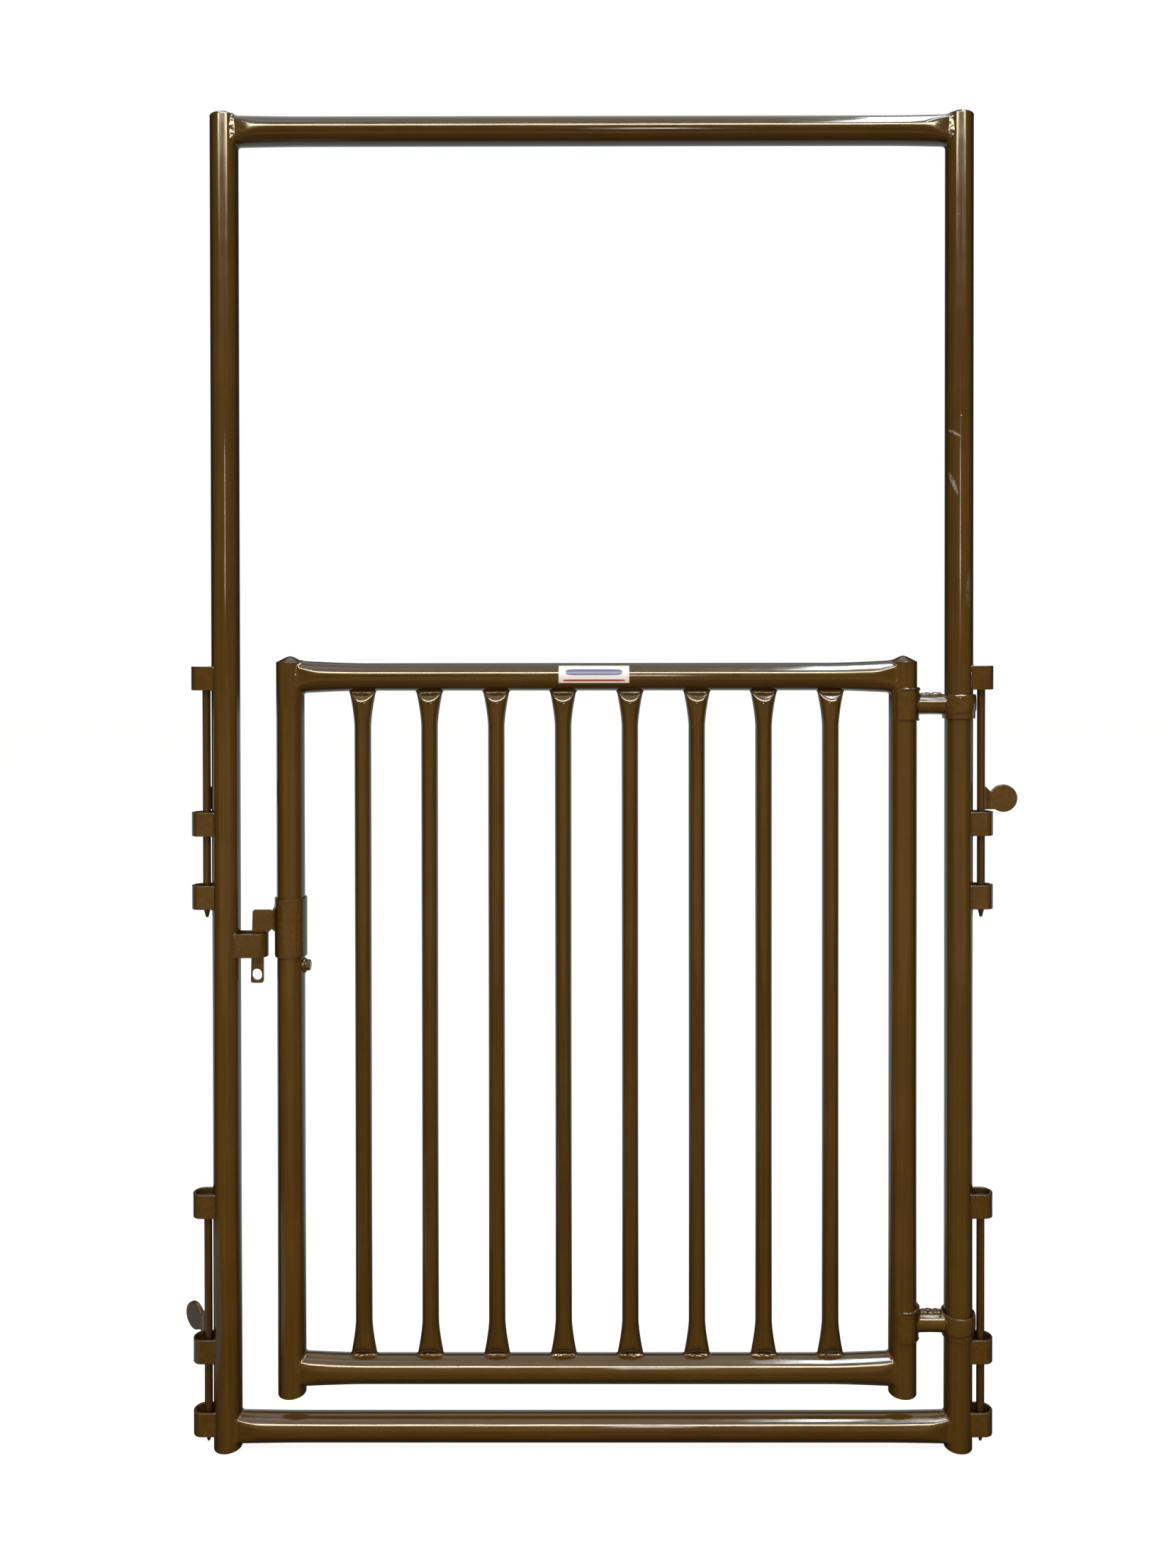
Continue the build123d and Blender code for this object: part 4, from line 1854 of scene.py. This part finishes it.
    def arm_weld(self, reach: float, way: int, top: float, seed: int) -> Piece:
        """The weld round one end of the pipe, drawn hollow between it and the round face it meets.

        Args:
            reach: Radius of that face.
            way: 1 where the pipe leaves the face to the right, -1 to the left.
            top: Height of the face's upper edge over the pipe's middle.
            seed: Sets where the lumps fall.

        Returns:
            The weld, with the face's axis and the pipe's height at the origin.
        """
        sunk = 1 - self.arm_weld_sunk / self.pipe_radius
        face = reach - self.arm_weld_sunk
        sections = []
        for step in range(self.arm_weld_points):
            turn = 2 * math.pi * step / self.arm_weld_points
            across, up = math.cos(turn), math.sin(turn)
            leg = self.arm_weld_leg * (self.arm_weld_even + (1 - self.arm_weld_even) * up)
            y, z = self.pipe_radius * across, self.pipe_radius * up
            corner = Vector((way * math.sqrt(reach**2 - y**2), y, z))
            first = Vector((corner.x + way * leg, y * sunk, z * sunk))
            spread = 1 + leg / self.pipe_radius
            beside = math.sqrt(face**2 - (y * spread) ** 2)
            flank = Vector((way * beside, y * spread, min(z * spread, top)))
            behind = math.sqrt(face**2 - y**2) - self.plate / 2
            ledge = Vector((way * behind, y, top - self.arm_weld_sunk))
            over = max(0.0, min(1.0, (z * spread - top) / self.arm_weld_leg + 1.0))
            second = flank.lerp(ledge, over)
            sections.append(hollow(first, second, corner, self.arm_weld_fill))
        return lay_fillet(sections, self.arm_weld_lump, seed)

    def edge_path(self, height: float, spread: float) -> list[Vector]:
        """The line of the bead along one edge of the plate.

        Args:
            height: The edge's height.
            spread: How far the bead runs to either side of the arm, in degrees.

        Returns:
            The points along it.
        """
        reach = self.stile.size.x / 2 + 0.5 * self.plate
        path = []
        for step in range(self.edge_points):
            turn = math.radians(spread * (2 * step / (self.edge_points - 1) - 1))
            x = self.stile.centre.x + reach * math.cos(turn)
            path.append(Vector((x, reach * math.sin(turn), height)))
        return path

    def seam_path(self, start: float, end: float, height: float, offset: float) -> list[Vector]:
        """The line of a bead along the top of the pipe.

        Args:
            start: Where it begins along X.
            end: Where it ends.
            height: The pipe's height.
            offset: How far behind the pipe's crown it runs.

        Returns:
            The points along it.
        """
        z = height + math.sqrt(self.pipe_radius**2 - offset**2) - self.seam_sunk
        shares = (step / (self.seam_points - 1) for step in range(self.seam_points))
        return [Vector((start + share * (end - start), offset, z)) for share in shares]

    def welds(self) -> None:
        """Makes the welds at the plate's edges, along the pipe and round its ends, with spatter."""
        stile, post = self.stile, self.post
        plate = Room.of(f"{self.word}_saddle")
        band = Room.of(f"{self.word}_eye")
        height = Room.of(f"{self.word}_arm").centre.z
        wrap = stile.size.x / 2 + self.plate
        start = stile.centre.x + wrap
        end = post.centre.x - self.band_radius
        seed = self.first_seed + len(self.shop.pieces)
        beads = []
        for path, size, ripple in (
            (self.edge_path(plate.high.z, 118.0), 1.05, self.edge_ripple),
            (self.edge_path(plate.low.z, 60.0), 0.6, self.edge_ripple),
            (self.seam_path(start, end, height, -3.5 * MM), 1.25, self.seam_ripple),
            (self.seam_path(start, end, height, 3.0 * MM), 1.1, self.seam_ripple),
        ):
            number = seed + len(beads)
            beads.append(lay_bead(path, size * self.bead, number, ripple=ripple, lump=self.bead_lump))
        for centre, reach, way, top in (
            (stile.centre.x, wrap, 1, plate.high.z - height),
            (post.centre.x, self.band_radius, -1, band.high.z - height),
        ):
            weld = self.arm_weld(reach, way, top, seed + len(beads))
            move_to(weld, (centre, 0.0, height))
            beads.append(weld)
        draw = random.Random(seed)
        places = []
        for _ in range(self.drops):
            along = draw.uniform(start + 3 * MM, end - 2 * MM)
            turn = draw.gauss(math.pi / 2, 0.55)
            y = -self.pipe_radius * math.cos(turn)
            places.append(Vector((along, y, height + self.pipe_radius * math.sin(turn))))
        piece = join([*beads, *spatter(places, self.drop, seed)])
        smooth(piece, WELD_ANGLE)
        self.dress(piece, f"{self.word}_welds", Body.GATE.value, Coat.WELD)


@dataclass
class Latch(Assembly):
    """The sleeve with its flag and tongue, and the stud that it comes down on."""

    sleeve_sides: int = 96
    sleeve_wall: float = 2.6 * MM
    sleeve_angle: float = 60.0
    flag: float = 5.2 * MM
    flag_height: float = 36.0 * MM
    flag_gap: float = 0.6 * MM
    flag_angle: float = 50.0
    tongue_width: float = 20.8 * MM
    corner: float = 4.0 * MM
    eye_width: float = 15.4 * MM
    eye_height: float = 18.2 * MM
    eye_margin: float = 4.6 * MM
    eye_sides: int = 64
    notch: float = 5.0 * MM
    top_notch: float = 1.8 * MM
    edge: float = 0.6 * MM
    lean: float = 3.4 * MM
    web_width: float = 8.0 * MM
    web_lap: float = 6.0 * MM
    web_short: float = 1.0 * MM
    web_knee: float = 5.0 * MM
    web_draw: float = 5.6 * MM
    web_draw_top: float = 1.9 * MM
    fillet: float = 2.2 * MM
    fillet_inset: float = 2.0 * MM
    fillet_points: int = 24
    fillet_seed: int = 70
    stud_sides: int = 48
    stud_round: float = 2.0 * MM
    stud_gap: float = 7.0 * MM
    stud_angle: float = math.radians(60)
    stud_bead: float = 2.6 * MM
    stud_points: int = 48
    stud_seed: int = 91
    stud_drops: int = 5

    def build(self) -> None:
        """Makes the sliding sleeve and the stud."""
        self.slide()
        self.stud()

    @property
    def sleeve_low(self) -> float:
        """The sleeve's foot, which hangs a little over the stud."""
        return Room.of("latch_stop").high.z + self.stud_gap

    @property
    def sleeve_high(self) -> float:
        """The sleeve's top."""
        return Room.of("latch_sleeve").high.z

    @property
    def flag_low(self) -> float:
        """The flag's lower edge, just over the keeper."""
        return Room.of("latch_keeper").high.z + self.flag_gap

    @property
    def flag_high(self) -> float:
        """The flag's upper edge."""
        return self.flag_low + self.flag_height

    def slide(self) -> None:
        """Makes the sleeve, with the flag and tongue cut from one plate."""
        room = Room.of("latch_sleeve")
        stile = Room.of("latch_stile")
        outer = room.high.x - stile.centre.x
        inner = stile.centre.x - outer + 0.5 * self.sleeve_wall
        middle = (stile.centre.x, 0.0, (self.sleeve_high + self.sleeve_low) / 2)
        sleeve = stock(outer, self.sleeve_high - self.sleeve_low, middle, self.sleeve_sides)
        finish_with(sleeve, "SOLIDIFY", thickness=self.sleeve_wall, offset=-1.0)
        ease_edges(sleeve, self.edge, angle=self.sleeve_angle)
        plate = block(
            (inner - room.low.x, self.flag, self.flag_height),
            ((room.low.x + inner) / 2, 0.0, (self.flag_low + self.flag_high) / 2),
        )
        self.cut_tongue(plate, room)
        self.cut_openings(plate, room, stile.centre.x - outer - self.notch)
        ease_edges(plate, self.edge, angle=self.flag_angle)
        parts = [sleeve, plate, self.web(inner)]
        for face in (-1, 1):
            y = face * (self.flag / 2 + 0.2 * MM)
            x = stile.centre.x - math.sqrt(outer**2 - y**2) - 0.4 * MM
            path = []
            for step in range(self.fillet_points):
                share = step / (self.fillet_points - 1)
                rise = self.fillet_inset + share * (self.flag_height - 2 * self.fillet_inset)
                path.append(Vector((x, y, self.flag_low + rise)))
            parts.append(lay_bead(path, self.fillet, self.fillet_seed + face, ripple=0.0, lump=0.08))
        piece = join(parts)
        smooth(piece)
        self.dress(piece, "latch_slide", Body.LATCH.value, Coat.FITTING, ["latch_sleeve"])

    def web(self, inner: float) -> Piece:
        """The small web that runs from the flag's upper edge up the sleeve, growing thin.

        Args:
            inner: Where the plate ends inside the sleeve's wall.

        Returns:
            The web.
        """
        low, high = self.flag_high - self.web_lap, self.sleeve_high - self.web_short
        web = block(
            (self.web_width, self.flag - 0.6 * MM, high - low),
            (inner - self.web_width / 2, 0.0, (low + high) / 2),
        )
        open_mesh(web)
        bpy.ops.mesh.bisect(
            plane_co=(0.0, 0.0, self.flag_high + self.web_knee), plane_no=(0.0, 0.0, 1.0)
        )
        for reach, foot, draw in (
            (inner - 1.0 * MM, self.flag_high, self.web_draw),
            (inner - 0.5 * MM, high - 1.0 * MM, self.web_draw_top),
        ):
            pick(web, MeshPart.VERTEX, lambda at: at.x < reach and at.z > foot)
            bpy.ops.transform.translate(value=(draw, 0.0, 0.0))
        close_mesh()
        ease_edges(web, self.edge, angle=self.flag_angle)
        return web

    def cut_tongue(self, plate: Piece, room: Room) -> None:
        """Draws the tongue down from the flag, rounds the free corners and leans its outer edge.

        Args:
            plate: The flag as a plain plate.
            room: The box of the whole pressing.
        """
        far = room.low.x
        near = far + self.tongue_width
        low, high = self.flag_low, self.flag_high
        open_mesh(plate)
        bpy.ops.mesh.bisect(plane_co=(near, 0.0, 0.0), plane_no=(1.0, 0.0, 0.0))
        pick(plate, MeshPart.FACE, lambda at: at.x < near and abs(at.z - low) < TOUCH)
        bpy.ops.mesh.extrude_region_move(TRANSFORM_OT_translate={"value": (0.0, 0.0, room.low.z - low)})
        corners = ((far, room.low.z), (near, room.low.z), (far, high))
        pick(
            plate,
            MeshPart.EDGE,
            lambda at: abs(at.y) < TOUCH
            and any(math.hypot(at.x - x, at.z - z) < TOUCH for x, z in corners),
        )
        bpy.ops.mesh.bevel(offset=self.corner, segments=6, affect="EDGES")
        close_mesh()
        for point in plate.data.vertices:
            rise = (point.co.z - room.low.z) / (high - room.low.z)
            point.co.x += self.lean * rise * max(0.0, near - point.co.x) / self.tongue_width

    def cut_openings(self, plate: Piece, room: Room, neck: float) -> None:
        """Cuts the padlock eye and the two notches beside the sleeve.

        Args:
            plate: The plate with its tongue.
            room: The box of the whole pressing.
            neck: Where the notches stand along X.
        """
        centre = room.low.x + self.tongue_width / 2
        straight = self.eye_height - self.eye_width
        foot = room.low.z + self.eye_margin + self.eye_height / 2 - straight / 2
        middle = (centre, 0.0, foot)
        eye = stock(self.eye_width / 2, 4 * self.flag, middle, self.eye_sides, lying=True)
        open_mesh(eye)
        pick(eye, MeshPart.VERTEX, lambda at: at.z > foot + MERGE)
        bpy.ops.transform.translate(value=(0.0, 0.0, straight))
        close_mesh()
        cutters = [eye]
        for edge, depth in ((self.flag_low, self.notch), (self.flag_high, self.top_notch)):
            side = depth * math.sqrt(2)
            cutters.append(
                block((side, 4 * self.flag, side), (neck, 0.0, edge), (0.0, math.pi / 4, 0.0))
            )
        for cutter in cutters:
            finish_with(plate, "BOOLEAN", operation="DIFFERENCE", object=cutter, solver="EXACT")
            scrap(cutter)

    def stud(self) -> None:
        """Makes the short stud on the stile, and its weld."""
        room = Room.of("latch_stop")
        stile = Room.of("latch_stile")
        radius = room.size.z / 2
        length = room.high.x - stile.centre.x
        rings = [
            Ring.round(0.8 * stile.size.x / 2, radius),
            Ring.round(length - self.stud_round, radius),
            Ring.round(length - 0.35 * self.stud_round, radius - 0.35 * self.stud_round),
            Ring.round(length, radius - 1.3 * self.stud_round),
        ]
        piece = draw_out(rings, vertices=self.stud_sides)
        move_to(piece, (stile.centre.x, 0.0, room.centre.z), (0.0, math.pi / 2, 0.0))
        smooth(piece, self.stud_angle)
        self.dress(piece, "latch_stud", Body.GATE.value, Coat.FITTING, ["latch_stop"])
        path = []
        for step in range(self.stud_points):
            turn = 2 * math.pi * step / self.stud_points
            y = radius * math.cos(turn)
            x = stile.centre.x + math.sqrt((stile.size.x / 2) ** 2 - y**2) + 0.6 * MM
            path.append(Vector((x, y, room.centre.z + radius * math.sin(turn))))
        bead = lay_bead(path, self.stud_bead, self.stud_seed, closed=True, lump=0.6)
        draw = random.Random(self.stud_seed + 1)
        places = []
        for _ in range(self.stud_drops):
            x = room.high.x - draw.uniform(0.0, 7.0) * MM
            y = -radius * draw.uniform(0.5, 1.0)
            places.append(Vector((x, y, room.centre.z + draw.uniform(-0.2, 0.75) * radius)))
        piece = join([bead, *spatter(places, self.stud_bead, self.stud_seed + 2)])
        smooth(piece, WELD_ANGLE)
        self.dress(piece, "latch_stud_weld", Body.GATE.value, Coat.WELD)


@dataclass
class BlankLabel(Assembly):
    """A plain label on the front of the gate's top rail."""

    film: LabelFilm = LabelFilm()
    place: float = 3.0 * MM
    width: float = 112.0 * MM
    arc: float = 30.0 * MM
    arc_middle: float = 5.2 * MM
    proud: float = 0.25 * MM
    spans: tuple[int, int] = (24, 20)

    def build(self) -> None:
        """Wraps the film round the rail's front and prints it."""
        piece = self.wrapped()
        spots = [point.co for point in piece.data.vertices]
        low = Vector(min(spot[axis] for spot in spots) for axis in range(3))
        high = Vector(max(spot[axis] for spot in spots) for axis in range(3))
        piece.name = "blank_label"
        piece.data.materials.append(self.film.material(low, high))
        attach(piece, Body.GATE.value)
        self.shop.note(piece, Body.GATE.value)

    def wrapped(self) -> Piece:
        """The film, bent round the rail.

        Returns:
            The film, in place.
        """
        rail = Room.of("gate_top_rail")
        radius = Room.of("latch_stile").size.x / 2
        clear_bench()
        bpy.ops.mesh.primitive_grid_add(
            x_subdivisions=self.spans[0], y_subdivisions=self.spans[1], size=1.0
        )
        piece = bpy.context.object
        piece.scale = (self.width, self.arc, 1.0)
        settle(piece)
        for point in piece.data.vertices:
            turn = (point.co.y + self.arc_middle) / radius
            across = self.place + point.co.x
            point.co = (across, -radius * math.cos(turn), radius * math.sin(turn))
        move_to(piece, (0.0, 0.0, rail.centre.z))
        finish_with(piece, "SOLIDIFY", thickness=self.proud, offset=1.0)
        open_mesh(piece)
        close_mesh()
        smooth(piece)
        return piece


# Studio


@dataclass(frozen=True)
class Lamp:
    """One flat lamp, by its brightness as a surface."""

    name: str
    place: tuple[float, float, float]
    aim: tuple[float, float, float]
    size: tuple[float, float]
    radiance: float
    colour: Colour
    lights: bool = True
    shown: bool = True

    def hang(self) -> None:
        """Sets the lamp up; it is never in the camera's own view."""
        bpy.ops.object.light_add(type="AREA", location=self.place)
        lamp = bpy.context.object
        lamp.name = self.name
        facing = Vector(self.aim) - Vector(self.place)
        lamp.rotation_euler = facing.to_track_quat("-Z", "Y").to_euler()
        lamp.data.shape = "RECTANGLE"
        lamp.data.size, lamp.data.size_y = self.size
        lamp.data.energy = self.radiance * math.pi * self.size[0] * self.size[1]
        lamp.data.color = self.colour
        lamp.visible_camera = False
        lamp.visible_diffuse = self.lights
        lamp.visible_glossy = self.shown


@dataclass
class Studio:
    """Plain floor, white surroundings, soft lamps and the camera."""

    distance: float = 1.85
    eye_height: float = 1.2547
    eye_side: float = 0.0055
    focal_px: float = 1627.8
    pitch: float = -0.4
    roll: float = 0.06
    yaw: float = 0.10
    shift_x: float = -0.0035
    horizon_px: float = 940.0
    sensor: float = 36.0
    white: Colour = (1.0, 1.0, 1.0)
    sky_low: Colour = (0.22, 0.215, 0.20)
    sky_high: Colour = (0.80, 0.78, 0.74)
    hall: Colour = (0.24, 0.15, 0.06)
    dusk: Colour = (0.06, 0.05, 0.04)
    backdrop: Colour = (0.76, 0.90, 0.90)
    overhead: Colour = (1.30, 1.38, 1.25)
    floor_size: float = 60.0
    floor_drop: float = 0.5 * MM
    floor_tone: Colour = (0.11, 0.085, 0.05)
    floor_seen: Colour = (0.32, 0.32, 0.32)
    floor_glow: Colour = (0.8, 0.8, 0.8)
    side_glow: float = 0.38
    side_place: float = 1.08

    def build(self) -> None:
        """Sets the stage."""
        self.camera()
        self.surroundings()
        self.floor()
        self.lamps()

    def camera(self) -> None:
        """Sets the camera at the photograph's viewing angle."""
        long_side = max(PHOTO_SIZE)
        turn = (90.0 + self.pitch, self.roll, self.yaw)
        bpy.ops.object.camera_add(
            location=(self.eye_side, -self.distance, self.eye_height),
            rotation=tuple(math.radians(angle) for angle in turn),
        )
        camera = bpy.context.object
        camera.data.sensor_width = self.sensor
        camera.data.lens = self.sensor * self.focal_px / long_side
        centre_px = self.horizon_px - self.focal_px * math.tan(math.radians(self.pitch))
        camera.data.shift_x = self.shift_x
        camera.data.shift_y = (centre_px - PHOTO_SIZE[1] / 2) / long_side
        bpy.context.scene.camera = camera

    def surroundings(self) -> None:
        """White to the camera, a soft sky for the light, and a hall for the gloss to show.

        The hall is dim and warm before the gate, has a pale screen behind it and is bright overhead.
        """
        world = bpy.data.worlds.new("studio")
        bpy.context.scene.world = world
        world.use_nodes = True
        wire = Wiring(world.node_tree)
        way = wire.node("ShaderNodeTexCoord").outputs["Generated"]
        parts = wire.node("ShaderNodeSeparateXYZ", {0: way}).outputs
        path = wire.node("ShaderNodeLightPath").outputs
        sky = wire.blend(
            wire.smooth_step(parts[2], -0.1, 0.95), opaque(self.sky_low), opaque(self.sky_high)
        )
        before = wire.blend(
            wire.smooth_step(parts[2], 0.42, 0.80), opaque(self.hall), opaque(self.overhead)
        )
        beside = wire.maths("ABSOLUTE", wire.maths("DIVIDE", parts[0], parts[1]))
        above = wire.maths("DIVIDE", parts[2], parts[1])
        screen = wire.maths(
            "MULTIPLY",
            wire.maths("SUBTRACT", 1.0, wire.smooth_step(beside, 0.29, 0.36)),
            wire.maths("SUBTRACT", 1.0, wire.smooth_step(above, 0.44, 0.52)),
        )
        behind = wire.blend(screen, opaque(self.dusk), opaque(self.backdrop))
        behind = wire.blend(wire.smooth_step(parts[2], 0.62, 0.85), behind, opaque(self.overhead))
        hall = wire.blend(wire.smooth_step(parts[1], -0.05, 0.15), before, behind)
        around = wire.blend(path["Is Glossy Ray"], sky, hall)
        seen = wire.maths("MAXIMUM", path["Is Camera Ray"], path["Is Transmission Ray"])
        shown = wire.blend(seen, around, opaque(self.white))
        wire.feed(world.node_tree.nodes["Background"].inputs["Color"], shown)

    def floor(self) -> None:
        """Lays the floor, which the camera sees as white apart from the gate's shadow.

        The gloss sees it dark before the gate and pale behind it, with a pale patch to the left.
        """
        clear_bench()
        bpy.ops.mesh.primitive_plane_add(size=self.floor_size, location=(0.0, 0.0, -self.floor_drop))
        floor = bpy.context.object
        floor.name = "floor"
        paint = bpy.data.materials.new("floor_pale")
        paint.use_nodes = True
        wire = Wiring(paint.node_tree)
        nodes = paint.node_tree.nodes
        nodes.remove(nodes["Principled BSDF"])
        path = wire.node("ShaderNodeLightPath").outputs
        seen = wire.maths("MAXIMUM", path["Is Camera Ray"], path["Is Transmission Ray"])
        tone = wire.blend(seen, opaque(self.floor_tone), opaque(self.floor_seen))
        lit = wire.node("ShaderNodeBsdfDiffuse", {"Color": tone})
        place = wire.node("ShaderNodeTexCoord").outputs["Object"]
        spot = wire.node("ShaderNodeSeparateXYZ", {0: place}).outputs
        aside = wire.maths("ABSOLUTE", wire.maths("ADD", spot[0], self.side_place))
        across = wire.smooth_step(aside, 0.34, 0.22)
        along = wire.smooth_step(wire.maths("ABSOLUTE", spot[1]), 0.5, 0.3)
        patch = wire.maths("MULTIPLY", wire.maths("MULTIPLY", across, along), self.side_glow)
        pale = wire.maths("MAXIMUM", wire.smooth_step(spot[1], 0.1, 0.9), patch)
        mirrored = wire.maths("MULTIPLY", path["Is Glossy Ray"], pale)
        glow = wire.node(
            "ShaderNodeEmission",
            {
                "Color": wire.blend(seen, opaque(self.backdrop), opaque(self.floor_glow)),
                "Strength": wire.maths("MAXIMUM", seen, mirrored),
            },
        )
        both = wire.node("ShaderNodeAddShader", {0: lit.outputs[0], 1: glow.outputs[0]})
        wire.feed(nodes["Material Output"].inputs["Surface"], both.outputs[0])
        floor.data.materials.append(paint)

    def lamps(self) -> None:
        """Hangs the soft lamps that light the gate and those that only its gloss shows."""
        front = (0.0, 0.0, 1.6)
        soft = (1.0, 0.98, 0.94)
        fill = (1.0, 0.9, 0.7)
        amber = (1.0, 0.62, 0.25)
        warm = (1.0, 0.92, 0.66)
        daylight = (0.95, 0.98, 1.0)
        cool = (0.76, 0.89, 1.0)
        blue = (0.25, 0.55, 1.0)
        for name, place, aim, size, radiance, colour in (
            ("soft_key", (0.0, -2.9, 4.3), (0.0, 0.0, 1.3), (4.0, 1.6), 6.0, soft),
            ("low_fill", (0.0, -1.7, 0.45), (0.0, 0.0, 0.45), (3.6, 0.9), 2.2, fill),
            ("back_fill", (0.0, 3.0, 2.6), (0.0, 0.0, 1.1), (4.0, 2.0), 4.0, soft),
        ):
            Lamp(name, place, aim, size, radiance, colour, shown=False).hang()
        for name, place, aim, size, radiance, colour in (
            ("low_sheen", (0.0, -2.6, 0.55), (0.0, 0.0, 0.55), (6.0, 1.1), 0.5, amber),
            ("long_strip", (0.0, -9.0, 7.46), front, (13.0, 1.6), 26.0, warm),
            ("strip_glow", (0.0, -9.0, 6.40), front, (13.0, 0.36), 2.0, warm),
            ("strip_halo", (0.0, -9.0, 6.06), front, (13.0, 0.32), 0.9, warm),
            ("strip_haze", (0.0, -9.0, 5.58), front, (13.0, 0.65), 0.4, warm),
            ("strip_fade", (0.0, -9.0, 4.80), front, (13.0, 0.95), 0.15, warm),
            ("small_window", (0.25, -3.5, 1.9), (0.0, 0.0, 1.5), (0.30, 0.65), 11.0, daylight),
            ("cool_pane", (1.13, -1.0, 4.5), (1.13, -1.0, 0.0), (0.36, 2.6), 30.0, cool),
            ("cool_slit", (1.72, -1.8, 4.5), (1.72, -1.8, 0.0), (0.18, 2.4), 28.0, cool),
            ("pale_panel", (-1.5, -0.9, 4.5), (-0.6, 0.0, 1.2), (1.4, 1.1), 1.5, blue),
        ):
            Lamp(name, place, aim, size, radiance, colour, lights=False).hang()


def main() -> None:
    """Builds the gate's sub-assemblies in order, then the studio."""
    logging.basicConfig(level=logging.INFO, format="%(name)s: %(message)s")
    noise.seed_set(NOISE_SEED)
    bpy.context.scene.view_settings.view_transform = "Standard"
    shop = Shop(Paints(Groups()))
    for assembly in (
        Uprights(shop),
        Rails(shop),
        Pickets(shop),
        Straps(shop),
        DropPins(shop),
        *(Hinge(shop, level) for level in Level),
        Latch(shop),
        BlankLabel(shop),
    ):
        assembly.build()
    Studio().build()
    log.info("%d pieces in place", len(shop.pieces))


if __name__ == "__main__":
    main()
